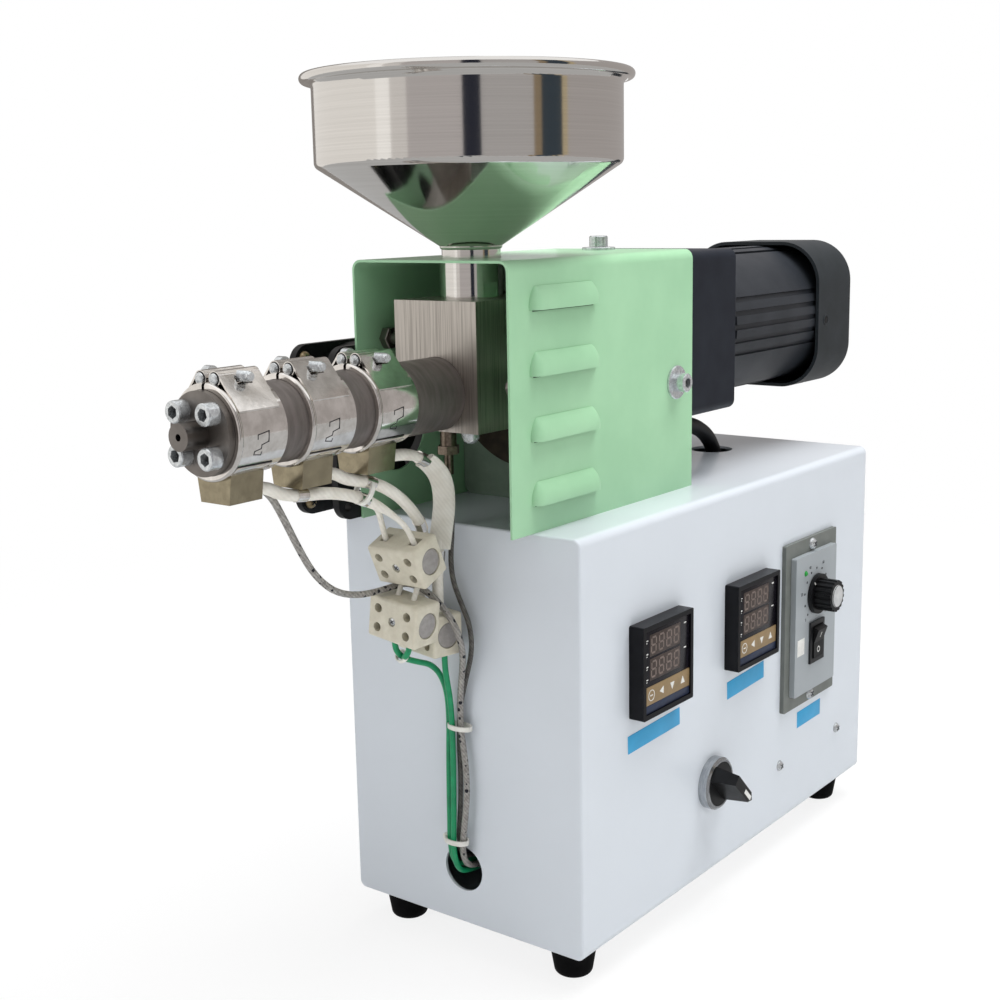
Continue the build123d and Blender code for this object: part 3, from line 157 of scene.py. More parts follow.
def add_node(tree: Tree, kind: str, inputs: dict[Any, Any] | None = None, **settings: Any) -> bpy.types.Node:
    """Add one shader node with its settings, constants and links.

    Args:
        tree: The tree that the node goes into.
        kind: The node's type.
        inputs: Socket names or numbers, each with a constant or another node's output.
        settings: The node's own properties.

    Returns:
        The new node.
    """
    node = tree.nodes.new(kind)
    for name, value in settings.items():
        setattr(node, name, value)
    for key, value in (inputs or {}).items():
        if isinstance(value, Socket):
            tree.links.new(value, node.inputs[key])
        else:
            node.inputs[key].default_value = value
    return node


def bare_tree(owner: bpy.types.Material | bpy.types.World) -> Tree:
    """The empty node tree of a new material or world."""
    owner.use_nodes = True
    owner.node_tree.nodes.clear()
    return owner.node_tree


def stand(name: str, data: bpy.types.ID) -> Piece:
    """A new object with its data, linked to the scene."""
    made = bpy.data.objects.new(name, data)
    bpy.context.scene.collection.objects.link(made)
    return made


@dataclass(frozen=True)
class Finish:
    """A surface: its material, how it was worked, and the size of the marks that leaves.

    Attributes:
        name: The material's common name and surface.
        colour: Its main colour.
        second: The colour that its marks or its mottle drift to.
        roughness: The smoothest and the roughest places.
        marks_mm: The size of the marks, one for all or along X, Y and Z.
        metallic: One for bare metal.
        grain_mm: The size of the fine relief.
        relief_mm: The height of the fine relief.
        coat: The weight of a clear coat.
        spread: Where the marks start and end in the noise, which sets their contrast.
        specular: How much a surface that isn't metal mirrors.
        layers: The number of finer layers in the marks and in the relief.
        layer_share: How strong each finer layer is.
        coat_roughness: How matt a clear coat is.
    """

    name: str
    colour: str
    second: str
    roughness: Pair
    marks_mm: Size
    metallic: float = 0.0
    grain_mm: Size = 1.0
    relief_mm: float = 0.0
    coat: float = 0.0
    spread: Pair = (0.35, 0.65)
    specular: float = 0.5
    layers: Pair = (4.0, 2.0)
    layer_share: float = 0.55
    coat_roughness: float = 0.08

    def marks(self, tree: Tree, size: Size, layers: float) -> Socket:
        """Noise whose spots have a real size.

        Args:
            tree: The material's tree.
            size: The spots' size in millimetres.
            layers: The number of finer layers.

        Returns:
            The noise's value, from 0 to 1.
        """
        lengths = size if isinstance(size, tuple) else (size,) * 3
        place = add_node(tree, "ShaderNodeTexCoord").outputs["Object"]
        scale = Vector([1 / (MM * length) for length in lengths])
        mapped = add_node(tree, "ShaderNodeMapping", {"Vector": place, "Scale": scale}).outputs[0]
        noise = {"Vector": mapped, "Scale": 1.0, "Detail": layers, "Roughness": self.layer_share}
        return add_node(tree, "ShaderNodeTexNoise", noise).outputs["Fac"]

    def paint(self, tree: Tree, marks: Socket) -> Socket:
        """Drift between the two colours by the marks.

        Args:
            tree: The material's tree.
            marks: The noise that the colour follows.

        Returns:
            The colour.
        """
        ramp = add_node(tree, "ShaderNodeValToRGB", {"Fac": marks})
        first, last = ramp.color_ramp.elements
        first.position, last.position = self.spread
        first.color, last.color = linear(self.colour), linear(self.second)
        return ramp.outputs["Color"]

    def material(self) -> bpy.types.Material:
        """The finish as a material, made once."""
        found = bpy.data.materials.get(self.name)
        if found is not None:
            return found
        made = bpy.data.materials.new(self.name)
        tree = bare_tree(made)
        marks = self.marks(tree, self.marks_mm, self.layers[0])
        low, high = self.roughness
        rough = add_node(tree, "ShaderNodeMapRange", {"Value": marks, "To Min": low, "To Max": high})
        inputs = {
            "Base Color": self.paint(tree, marks),
            "Metallic": self.metallic,
            "Roughness": rough.outputs["Result"],
            "Specular IOR Level": self.specular,
            "Coat Weight": self.coat,
            "Coat Roughness": self.coat_roughness,
        }
        if self.relief_mm:
            grain = self.marks(tree, self.grain_mm, self.layers[1])
            relief = {"Height": grain, "Distance": self.relief_mm * MM, "Strength": 1.0}
            inputs["Normal"] = add_node(tree, "ShaderNodeBump", relief).outputs["Normal"]
        shader = add_node(tree, "ShaderNodeBsdfPrincipled", inputs)
        add_node(tree, "ShaderNodeOutputMaterial", {"Surface": shader.outputs["BSDF"]})
        return made


@dataclass(frozen=True)
class SteppedPlate(Finish):
    """A moulded plate whose raised face and switch frame have colours of their own.

    Attributes:
        steps: The X from which a colour holds, in millimetres, with that colour.
    """

    steps: tuple[tuple[float, str], ...] = ()

    def paint(self, tree: Tree, marks: Socket) -> Socket:
        """The plate's colour, then each step's from its height on."""
        colour = super().paint(tree, marks)
        place = add_node(tree, "ShaderNodeTexCoord").outputs["Object"]
        across = add_node(tree, "ShaderNodeSeparateXYZ", {0: place}).outputs["X"]
        for height, shade in self.steps:
            over = {0: across, 1: height * MM}
            above = add_node(tree, "ShaderNodeMath", over, operation="GREATER_THAN").outputs[0]
            step = {0: above, 6: colour, 7: linear(shade)}
            colour = add_node(tree, "ShaderNodeMix", step, data_type="RGBA").outputs[2]
        return colour


@dataclass(frozen=True)
class WovenSleeve(Finish):
    """A woven tube: crossing threads with painted shade in the gaps between them, and odd dark ones where it
    has them.

    Attributes:
        thread_mm: The width of a thread.
        depth: How much darker the gaps between threads are.
        fleck: The colour of the odd threads, or nothing.
        fleck_mm: The step between odd threads.
        fleck_share: The part of that step that is dark.
        wave: The scale of a wave whose bands are one unit wide, how far they wander and their finer layers.
        scatter: How unevenly the odd threads lie.
    """

    thread_mm: float = 0.8
    depth: float = 0.12
    fleck: str = ""
    fleck_mm: float = 5.0
    fleck_share: float = 0.24
    wave: Point = (0.2, 1.5, 1.0)
    scatter: float = 0.7

    def paint(self, tree: Tree, marks: Socket) -> Socket:
        """Threads that cross, with painted shade in their gaps, and the odd dark one."""
        colour = super().paint(tree, marks)
        place = add_node(tree, "ShaderNodeTexCoord").outputs["Object"]
        unit, wander, layers = self.wave
        scale = unit / (MM * self.thread_mm)
        wave = {"Vector": place, "Scale": scale, "Distortion": wander, "Detail": layers}
        weave = add_node(tree, "ShaderNodeTexWave", wave, bands_direction="DIAGONAL").outputs["Fac"]
        # Darken the gaps between threads: painted shade.
        gaps = {"Value": weave, "To Min": 1 - self.depth, "To Max": 1.0}
        shade = add_node(tree, "ShaderNodeMapRange", gaps)
        dimmed = {"Value": shade.outputs[0], "Color": colour}
        colour = add_node(tree, "ShaderNodeHueSaturation", dimmed).outputs["Color"]
        if self.fleck:
            spots = {"Vector": place, "Scale": 1 / (MM * self.fleck_mm), "Randomness": self.scatter}
            cells = add_node(tree, "ShaderNodeTexVoronoi", spots).outputs["Distance"]
            near = {0: cells, 1: self.fleck_share}
            few = add_node(tree, "ShaderNodeMath", near, operation="LESS_THAN").outputs[0]
            dark = {0: few, 6: colour, 7: linear(self.fleck)}
            colour = add_node(tree, "ShaderNodeMix", dark, data_type="RGBA").outputs[2]
        return colour


# Baked enamel on sheet steel: smooth, glossy, with a faint orange peel.
WHITE_ENAMEL = Finish(
    "baked_white_enamel", "D0D6DD", "CED4DB", (0.27, 0.31), 60.0,
    grain_mm=2.4, relief_mm=0.0015, coat=0.25,
)
# The same enamel in mint: an even, soft sheen over the folded hood.
MINT_ENAMEL = Finish(
    "baked_mint_enamel", "A2D0A8", "99C8A0", (0.30, 0.42), 45.0,
    grain_mm=1.2, relief_mm=0.008, coat=0.2,
)
# Milled steel: straight cutter marks from top to bottom, with a few dark scores.
MILLED_STEEL = Finish(
    "milled_block_steel", "C6C0B9", "8F8983", (0.28, 0.42), (0.7, 0.7, 40.0), 1.0,
    grain_mm=(0.8, 0.8, 30.0), relief_mm=0.008, spread=(0.42, 0.78),
)
# Nitrided barrel steel: turned, dull and dark, with fine rings along its length.
TURNED_STEEL = Finish(
    "turned_dark_steel", "8E8784", "7D7773", (0.50, 0.62), (14.0, 3.0, 14.0), 0.85,
    grain_mm=(1.2, 0.7, 1.2), relief_mm=0.004,
)
# Ground steel: even and smoother than the barrel, so that the die's edges show.
GROUND_STEEL = Finish(
    "ground_die_steel", "8A8581", "7B7672", (0.32, 0.44), 9.0, 1.0,
    grain_mm=0.8, relief_mm=0.004,
)
# Spun and polished stainless sheet: close to a mirror, with level rings from the spinning.
SPUN_STAINLESS = Finish(
    "spun_stainless_steel", "E3E0DC", "DCD9D5", (0.07, 0.12), (120.0, 120.0, 0.9), 1.0,
    grain_mm=(200.0, 200.0, 3.0), relief_mm=0.0012,
)
# Rolled stainless strip: bright, with slow waves that bend what it mirrors.
BAND_STAINLESS = Finish(
    "rolled_stainless_steel", "F8F4F0", "DDD9D4", (0.06, 0.16), 7.0, 1.0,
    grain_mm=7.0, relief_mm=0.03,
)
# Tinned sheet of the terminal boxes: brownish, duller than the bands.
TINNED_SHEET = Finish(
    "tinned_sheet_steel", "ABA188", "9A9079", (0.16, 0.30), 5.0, 1.0,
    grain_mm=5.0, relief_mm=0.02,
)
# Bright zinc plate on screws and washers: pale, a little cloudy.
BRIGHT_ZINC = Finish(
    "bright_zinc_plate", "E6EAEC", "C2C6C9", (0.16, 0.30), 1.8, 0.75,
    grain_mm=0.6, relief_mm=0.004,
)
# Nickel over brass: a warm grey with fine level marks.
PLATED_BRASS = Finish(
    "nickel_plated_brass", "A89A7E", "8C7C5E", (0.24, 0.36), 2.0, 1.0,
    grain_mm=(5.0, 5.0, 0.5), relief_mm=0.02,
)
# The same brass painted darker and a little duller: painted shade for the dark reflection on the
# thermocouple.
SHADED_BRASS = Finish(
    "brass_painted_darker", "8E8275", "6E6256", (0.24, 0.38), 2.0, 1.0,
    grain_mm=(5.0, 5.0, 0.6), relief_mm=0.02,
)
# Brushed aluminium: fine rings round the bezel.
SATIN_ALUMINIUM = Finish(
    "brushed_aluminium", "C2C5C8", "A2A5A9", (0.18, 0.28), (0.4, 5.0, 5.0), 1.0,
    grain_mm=(0.4, 4.0, 4.0), relief_mm=0.004,
)
# Sprayed paint on cast aluminium: dark, with the casting's fine grain under it.
GEARBOX_PAINT = Finish(
    "sprayed_gearbox_paint", "1D222B", "191D26", (0.40, 0.52), 20.0,
    grain_mm=0.9, relief_mm=0.015, specular=0.2,
)
# The motor's paint: a shade paler, so that its ribs catch the light.
MOTOR_PAINT = Finish(
    "sprayed_motor_paint", "303338", "2A2D32", (0.36, 0.48), 24.0,
    grain_mm=0.8, relief_mm=0.012, specular=0.25,
)
# Moulded cover: dark and even, with a fine matt grain.
COVER_PLASTIC = Finish(
    "moulded_cover_plastic", "282D31", "24292C", (0.38, 0.48), 18.0,
    grain_mm=0.7, relief_mm=0.012, specular=0.25,
)
# Moulded plastic of the small controls and the fan: near black, with a soft sheen.
BLACK_PLASTIC = Finish(
    "moulded_black_plastic", "111214", "0C0C0E", (0.34, 0.46), 6.0,
    grain_mm=0.5, relief_mm=0.006, specular=0.3,
)
# The controllers' housings: smoother, so that their edges show a line of light.
CONTROLLER_PLASTIC = Finish(
    "polished_black_plastic", "0E0E13", "0A0A0E", (0.26, 0.36), 8.0,
    grain_mm=0.5, relief_mm=0.003, specular=0.2,
)
# Smoked window: dark, and close to a mirror at a low angle.
SMOKED_WINDOW = Finish(
    "smoked_window", "15131A", "110F15", (0.16, 0.24), 9.0, specular=0.3,
)
# Brown filter behind the digits: a dull, warm field in the window.
DIGIT_WINDOW = Finish("brown_digit_window", "463C38", "3E3531", (0.30, 0.40), 5.0, specular=0.3)
# Digits that are off: just paler than their field.
UNLIT_DIGIT = Finish("unlit_digit", "786A63", "6C605A", (0.35, 0.45), 3.0, specular=0.3)
# Printed film under the keys: a matt brown band.
KEY_STRIP = Finish("brown_key_film", "8E7654", "84704F", (0.36, 0.46), 6.0)
# Printed film below the keys: a dark blue band.
FOOT_STRIP = Finish("dark_blue_film", "26314A", "202A40", (0.34, 0.44), 6.0)
# White ink: flat and matt.
PRINTED_WHITE = Finish("printed_white", "DEDEDA", "D2D2CE", (0.45, 0.55), 2.0)
# Black ink, flat and matt; also used as painted shade in gaps, sockets and screw crosses.
INK_AND_SHADE_BLACK = Finish("black_ink_and_painted_shade", "1D1E20", "26272A", (0.45, 0.55), 2.0)
# The lamp's lens: a clear green bead with a small highlight.
GREEN_LAMP = Finish("green_lamp_lens", "1F9A3E", "17822F", (0.14, 0.22), 2.0, coat=0.5)
# Vinyl stickers: an even blue, a little wavy from the glue under them.
BLUE_VINYL = Finish(
    "blue_vinyl_label", "339FD0", "2E97C8", (0.32, 0.42), 12.0,
    grain_mm=3.0, relief_mm=0.01,
)
# Moulded plate: a dark rim, a paler raised face and a black switch frame.
SPEED_PLASTIC = SteppedPlate(
    "moulded_grey_plate", "6E726E", "676B67", (0.36, 0.46), 8.0,
    grain_mm=0.6, relief_mm=0.008,
    steps=((SPEED_BASE_X + STEP_MARGIN, "9AA0A4"), (SPEED_FACE_X + STEP_MARGIN, "17181B")),
)
# Unglazed steatite: off-white, chalky, with a grain that only shows close up.
STEATITE = Finish(
    "steatite_ceramic", "CFCAB9", "C3BDAB", (0.42, 0.58), 5.0,
    grain_mm=0.6, relief_mm=0.02,
)
# Moulded rubber: black and dull, without a highlight.
SOFT_RUBBER = Finish(
    "moulded_rubber", "0D0D0E", "121213", (0.50, 0.66), 4.0,
    grain_mm=0.7, relief_mm=0.02, specular=0.03,
)
# Cast bearing housing: dark brown metal with the casting's skin.
DARK_BRONZE = Finish(
    "cast_bearing_housing", "4A4038", "3B332D", (0.42, 0.56), 6.0, 0.6,
    grain_mm=1.0, relief_mm=0.02,
)
# Primer on steel plate: a dull grey-green.
PLATE_PAINT = Finish(
    "primed_steel_plate", "7E8F80", "748577", (0.45, 0.58), 12.0,
    grain_mm=0.9, relief_mm=0.01,
)
# Nylon: milky white with a soft sheen.
NYLON = Finish("clear_nylon_tie", "DDDCD6", "D2D1CA", (0.28, 0.38), 3.0)
# Glass-fibre sleeve: soft and white. Its weave is drawn coarser than real, so that it shows.
GLASS_SLEEVE = WovenSleeve(
    "glass_fibre_sleeve", "E4E1D8", "D9D5CA", (0.55, 0.70), 6.0, thread_mm=0.9, depth=0.06,
)
# Tinned braid: grey threads with odd dark ones, drawn coarser than real.
METAL_BRAID = WovenSleeve(
    "tinned_braid", "B4B1AC", "918D89", (0.36, 0.50), 2.0, 0.35,
    thread_mm=0.7, depth=0.3, fleck="1A1B26", fleck_mm=4.2,
)
# Older braid: darker, without odd threads, drawn coarser too.
THERMO_BRAID = WovenSleeve(
    "dark_braid", "7A7873", "5C5A57", (0.38, 0.52), 3.0, 0.6, thread_mm=0.6, depth=0.3,
)
# Soft PVC: a plain green jacket with a long, soft highlight.
GREEN_PVC = Finish("green_wire_jacket", "12925F", "0E8154", (0.30, 0.42), 6.0)
# The same in black, on the motor's cable.
BLACK_PVC = Finish(
    "black_cable_jacket", "111114", "161619", (0.40, 0.52), 8.0, specular=0.3,
)
# Pressed fibre: flat and grey.
FIBRE_DISC = Finish("grey_fibre_disc", "9A9693", "8B8784", (0.40, 0.50), 3.0)
# Spun foil cap: pale and satin, with fine rings on its rim.
SILVER_CAP = Finish("spun_silver_cap", "DADBDB", "C6C7C8", (0.38, 0.48), (0.5, 4.0, 4.0), 0.4)
# Painted shadow under each louvre: a dark green strip below its lower lip, where the sheet's edge lies in
# shade.
LOUVRE_SHADOW = Finish("painted_louvre_shadow", "26402D", "1F3626", (0.55, 0.65), 4.0, specular=0.2)


def placed(at: Point, axis: Point | Facing, turn: float = 0.0) -> Matrix:
    """Where a shape goes: its own Z along an axis.

    Args:
        at: The place in millimetres.
        axis: The direction of the shape's own Z.
        turn: A turn about that axis, in degrees.

    Returns:
        The matrix that puts the shape there.
    """
    run = axis.value if isinstance(axis, Facing) else axis
    lean = Vector(run).to_track_quat("Z", "Y").to_matrix().to_4x4()
    return turned(Matrix.Translation(Vector(at)) @ lean, turn)


def turned(place: Matrix, turn: float, axis: str = "Z") -> Matrix:
    """A place turned about one of its own axes, in degrees."""
    return place @ Matrix.Rotation(math.radians(turn), 4, axis)


def moved(place: Matrix, across: float, rise: float, lift: float = 0.0) -> Matrix:
    """A place moved along its own X, Y and Z, in millimetres."""
    return place @ Matrix.Translation((across, rise, lift))


def laid(at: Vector, run: Vector, out: Vector) -> Matrix:
    """A place whose own X follows a run and whose own Z looks out."""
    return Matrix.Translation(at) @ Matrix((run, out.cross(run), out)).transposed().to_4x4()


def verts_of(geometry: Sequence[Any]) -> list[bmesh.types.BMVert]:
    """The vertices among what an operator made."""
    return [part for part in geometry if isinstance(part, bmesh.types.BMVert)]


class Mould:
    """Shapes in millimetres that together become one piece."""

    def __init__(self) -> None:
        """Start with nothing."""
        self.bm = bmesh.new()
        self.finishes: list[Finish] = []

    def take(self, shape: Shape, place: Matrix, finish: Finish) -> None:
        """Put a finished shape into the piece.

        Args:
            shape: The shape, which is used up.
            place: Where it goes.
            finish: What its faces are made of.
        """
        if finish not in self.finishes:
            self.finishes.append(finish)
        bmesh.ops.remove_doubles(shape, verts=shape.verts, dist=MERGE_MM)
        bmesh.ops.recalc_face_normals(shape, faces=shape.faces)
        bmesh.ops.transform(shape, matrix=place, verts=shape.verts)
        for face in shape.faces:
            face.material_index = self.finishes.index(finish)
        mesh = bpy.data.meshes.new("shape")
        shape.to_mesh(mesh)
        shape.free()
        self.bm.from_mesh(mesh)
        bpy.data.meshes.remove(mesh)

    def box(self, size: Point, place: Matrix, finish: Finish, edge: float = 0.0) -> None:
        """A block on its own XY plane, with rounded edges.

        Args:
            size: Its width, height and depth, the depth along its own Z from 0.
            place: Where it goes.
            finish: What it is made of.
            edge: The radius of its edges.
        """
        shape = bmesh.new()
        bmesh.ops.create_cube(shape, size=1.0)
        bmesh.ops.translate(shape, vec=(0, 0, 0.5), verts=shape.verts)
        bmesh.ops.scale(shape, vec=size, verts=shape.verts)
        if edge:
            bmesh.ops.bevel(
                shape, geom=shape.edges, offset=edge, affect="EDGES", segments=2, profile=0.5, material=-1
            )
        self.take(shape, place, finish)

    def prism(self, outline: Profile, height: float, place: Matrix, finish: Finish) -> None:
        """A flat outline raised to a height.

        Args:
            outline: The corners in the shape's own XY plane.
            height: How far it is raised.
            place: Where it goes.
            finish: What it is made of.
        """
        shape = bmesh.new()
        face = shape.faces.new([shape.verts.new((x, y, 0)) for x, y in outline])
        raised = bmesh.ops.extrude_face_region(shape, geom=[face], use_keep_orig=True)["geom"]
        bmesh.ops.translate(shape, vec=(0, 0, height), verts=verts_of(raised))
        self.take(shape, place, finish)

    def lathe(self, profile: Profile, place: Matrix, finish: Finish, steps: int = 32) -> None:
        """A profile spun about the shape's own Z.

        Args:
            profile: Radius and height of each point.
            place: Where it goes.
            finish: What it is made of.
            steps: The number of facets round it.
        """
        shape = bmesh.new()
        line = [shape.verts.new((radius, 0, height)) for radius, height in profile]
        edges = [shape.edges.new(pair) for pair in zip(line, line[1:])]
        bmesh.ops.spin(
            shape, geom=line + edges, cent=(0, 0, 0), axis=(0, 0, 1), angle=2 * math.pi,
            steps=steps, use_merge=True, use_duplicate=False,
        )
        bmesh.ops.remove_doubles(shape, verts=shape.verts, dist=MERGE_MM)
        self.close(shape, hollow=min(profile[0][0], profile[-1][0]) > 0)
        self.take(shape, place, finish)

    @staticmethod
    def close(shape: Shape, hollow: bool) -> None:
        """Close the unseen side of a shape.

        Args:
            shape: The shape.
            hollow: Whether it is open between two rims, or has one rim and gets a floor.
        """
        rims = [edge for edge in shape.edges if edge.is_boundary]
        if rims and hollow:
            bmesh.ops.bridge_loops(shape, edges=rims)
        elif rims:
            bmesh.ops.holes_fill(shape, edges=rims, sides=0)

    def socket_screw(self, head: float, height: float, key: float, place: Matrix, finish: Finish) -> None:
        """A cap screw's head with a hexagon socket, its floor lined with a black disc of painted shade.

        Args:
            head: The head's diameter.
            height: Its height.
            key: The width of the key across its corners.
            place: The seat of the head.
            finish: What it is made of.
        """
        shape = bmesh.new()
        soft = head * CAP_EDGE_SHARE
        rim = self.ring(shape, 28, head / 2, 0.0)
        outline = ((head / 2, height - soft), (head / 2 - soft, height), (head * CAP_RING_SHARE, height))
        for radius, level in outline:
            rim = self.grow(shape, rim, radius, level)
        socket = self.ring(shape, 6, key / 2, height)
        bmesh.ops.triangle_fill(shape, edges=rim + socket, use_beauty=True, use_dissolve=False)
        floor = self.grow(shape, socket, key / 2, height * SOCKET_FLOOR_SHARE)
        bmesh.ops.contextual_create(shape, geom=floor)
        self.close(shape, hollow=False)
        self.take(shape, place, finish)
        # Black lining in the socket: painted shade.
        self.lathe([(key * across, height * rise) for across, rise in SOCKET_SHADE_SHARES], place, INK_AND_SHADE_BLACK, 6)

    @staticmethod
    def ring(shape: Shape, count: int, radius: float, level: float) -> Edges:
        """The edges of a new circle about the shape's own Z."""
        made = bmesh.ops.create_circle(
            shape, cap_ends=False, segments=count, radius=radius, matrix=Matrix.Translation((0, 0, level))
        )
        return list({edge for vert in made["verts"] for edge in vert.link_edges})

    @staticmethod
    def grow(shape: Shape, rim: Edges, radius: float, level: float) -> Edges:
        """Extrude a circle to a new radius and level.

        Args:
            shape: The shape that it is part of.
            rim: The circle's edges.
            radius: The new circle's radius.
            level: The new circle's height.

        Returns:
            The new circle's edges.
        """
        made = bmesh.ops.extrude_edge_only(shape, edges=rim)["geom"]
        for vert in verts_of(made):
            flat = Vector((vert.co.x, vert.co.y, 0)).normalized() * radius
            vert.co = (flat.x, flat.y, level)
        return [edge for edge in made if isinstance(edge, bmesh.types.BMEdge)]

    def cross_screw(self, head: float, height: float, place: Matrix, finish: Finish) -> None:
        """A domed screw head with its cross recess drawn as black bars of painted shade.

        Args:
            head: The head's diameter.
            height: The dome's height.
            place: The seat of the head.
            finish: What it is made of.
        """
        self.lathe([(head * across, height * rise) for across, rise in DOME_SHARES], place, finish, 24)
        long, wide, deep = CROSS_SHARES
        for turn in CROSS_TURNS:
            lay = moved(turned(place, turn), 0, 0, height * CROSS_LEVEL_SHARE)
            self.box((head * long, head * wide, height * deep), lay, INK_AND_SHADE_BLACK)

    def tube(
        self, line: Sequence[Vector], width: float, thick: float, finish: Finish, facets: int = 14,
        turn: float = 0.0,
    ) -> None:
        """A round or flat tube along a line.

        Args:
            line: Points in millimetres.
            width: Its width, level across the line.
            thick: Its thickness.
            finish: What it is made of.
            facets: The number of facets round it.
            turn: A turn of its section about the line, in degrees.
        """
        shape = bmesh.new()
        start = bmesh.ops.create_circle(shape, cap_ends=True, segments=facets, radius=0.5)["verts"]
        bmesh.ops.scale(shape, vec=(width, thick, 1), verts=start)
        places = [turned(place, turn) for place in along(line)]
        bmesh.ops.transform(shape, matrix=places[0], verts=start)
        loop = list(shape.faces)[:1]
        for before, after in zip(places, places[1:]):
            made = bmesh.ops.extrude_face_region(shape, geom=loop)["geom"]
            if before is not places[0]:
                bmesh.ops.delete(shape, geom=loop, context="FACES_ONLY")
            loop = [face for face in made if isinstance(face, bmesh.types.BMFace)]
            verts = list({vert for face in loop for vert in face.verts})
            bmesh.ops.transform(shape, matrix=after @ before.inverted(), verts=verts)
        self.take(shape, Matrix.Identity(4), finish)

    def band(
        self, place: Matrix, size: Pair, wide: float, thick: float, finish: Finish
    ) -> None:
        """An oval strap round a bundle.

        Args:
            place: The bundle's middle, with its own Z along the bundle.
            size: The oval's inner width and height.
            wide: The strap's width along the bundle.
            thick: The strap's thickness.
            finish: What it is made of.
        """
        shape = bmesh.new()
        made = bmesh.ops.create_circle(shape, cap_ends=False, segments=28, radius=0.5)
        bmesh.ops.scale(shape, vec=(size[0], size[1], 1), verts=made["verts"])
        raised = bmesh.ops.extrude_edge_only(shape, edges=shape.edges)["geom"]
        bmesh.ops.translate(shape, vec=(0, 0, wide), verts=verts_of(raised))
        bmesh.ops.recalc_face_normals(shape, faces=shape.faces)
        bmesh.ops.solidify(shape, geom=shape.faces, thickness=-thick)
        self.take(shape, moved(place, 0, 0, -wide / 2), finish)

    def piece(self, name: str, slot: str, body: Body = Body.MACHINE, sharp: float = 32.0) -> Piece:
        """Turn the shapes into a piece of the scene.

        Args:
            name: The piece's name.
            slot: The record's material slot. Not used.
            body: What it moves with.
            sharp: The angle from which an edge stays sharp, in degrees.

        Returns:
            The piece.
        """
        bmesh.ops.scale(self.bm, vec=(MM, MM, MM), verts=self.bm.verts)
        mesh = bpy.data.meshes.new(name)
        self.bm.to_mesh(mesh)
        self.bm.free()
        for finish in self.finishes:
            mesh.materials.append(finish.material())
        mesh.polygons.foreach_set("use_smooth", [True] * len(mesh.polygons))
        mesh.set_sharp_from_angle(angle=math.radians(sharp))
        made = stand(name, mesh)
        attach(made, body.value)
        LOG.info("%s: %d faces", name, len(mesh.polygons))
        return made


def along(line: Sequence[Vector]) -> Iterator[Matrix]:
    """Places along a line, with Z along it and X level.

    Args:
        line: Points in millimetres.

    Yields:
        One matrix a point.
    """
    side = None
    for index, point in enumerate(line):
        ahead = line[min(index + 1, len(line) - 1)] - line[max(index - 1, 0)]
        run = ahead.normalized()
        side = run.cross((0, 0, 1)) if side is None else side
        side = (side - run * side.dot(run)).normalized()
        rise = run.cross(side)
        yield Matrix.Translation(point) @ Matrix((side, rise, run)).transposed().to_4x4()


def stretch(line: Sequence[Vector], start: float, end: float) -> list[Vector]:
    """The part of a line between two distances from its start.

    Args:
        line: Points in millimetres.
        start: The first distance.
        end: The last distance.

    Returns:
        Its points, with new ones at both distances.
    """
    kept, gone = [], 0.0
    for before, after in zip(line, line[1:]):
        step = (after - before).length
        for mark in (start, end):
            if gone <= mark < gone + step:
                kept.append(before.lerp(after, (mark - gone) / step))
        gone += step
        if start < gone < end:
            kept.append(after)
    return kept


def dress(finish: Finish, *nodes: str) -> None:
    """Give CAD nodes a finish.

    Args:
        finish: The finish.
        nodes: The nodes' names.
    """
    for node in nodes:
        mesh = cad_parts[node].data
        mesh.materials.clear()
        mesh.materials.append(finish.material())
        LOG.info("%s: %s", node, finish.name)


@dataclass(frozen=True)
class Lamp:
    """One large soft lamp: its name, place, aim and side in metres, and its power in watts."""

    name: str
    at: Point
    aim: Point
    side: float
    power: float

    def build(self) -> None:
        """Hang the lamp where mirrors don't show it."""
        data = bpy.data.lights.new(self.name, "AREA")
        data.shape, data.size, data.energy = "SQUARE", self.side, self.power
        made = stand(self.name, data)
        made.visible_glossy = False
        made.location = self.at
        made.rotation_euler = (Vector(self.at) - Vector(self.aim)).to_track_quat("Z", "Y").to_euler()


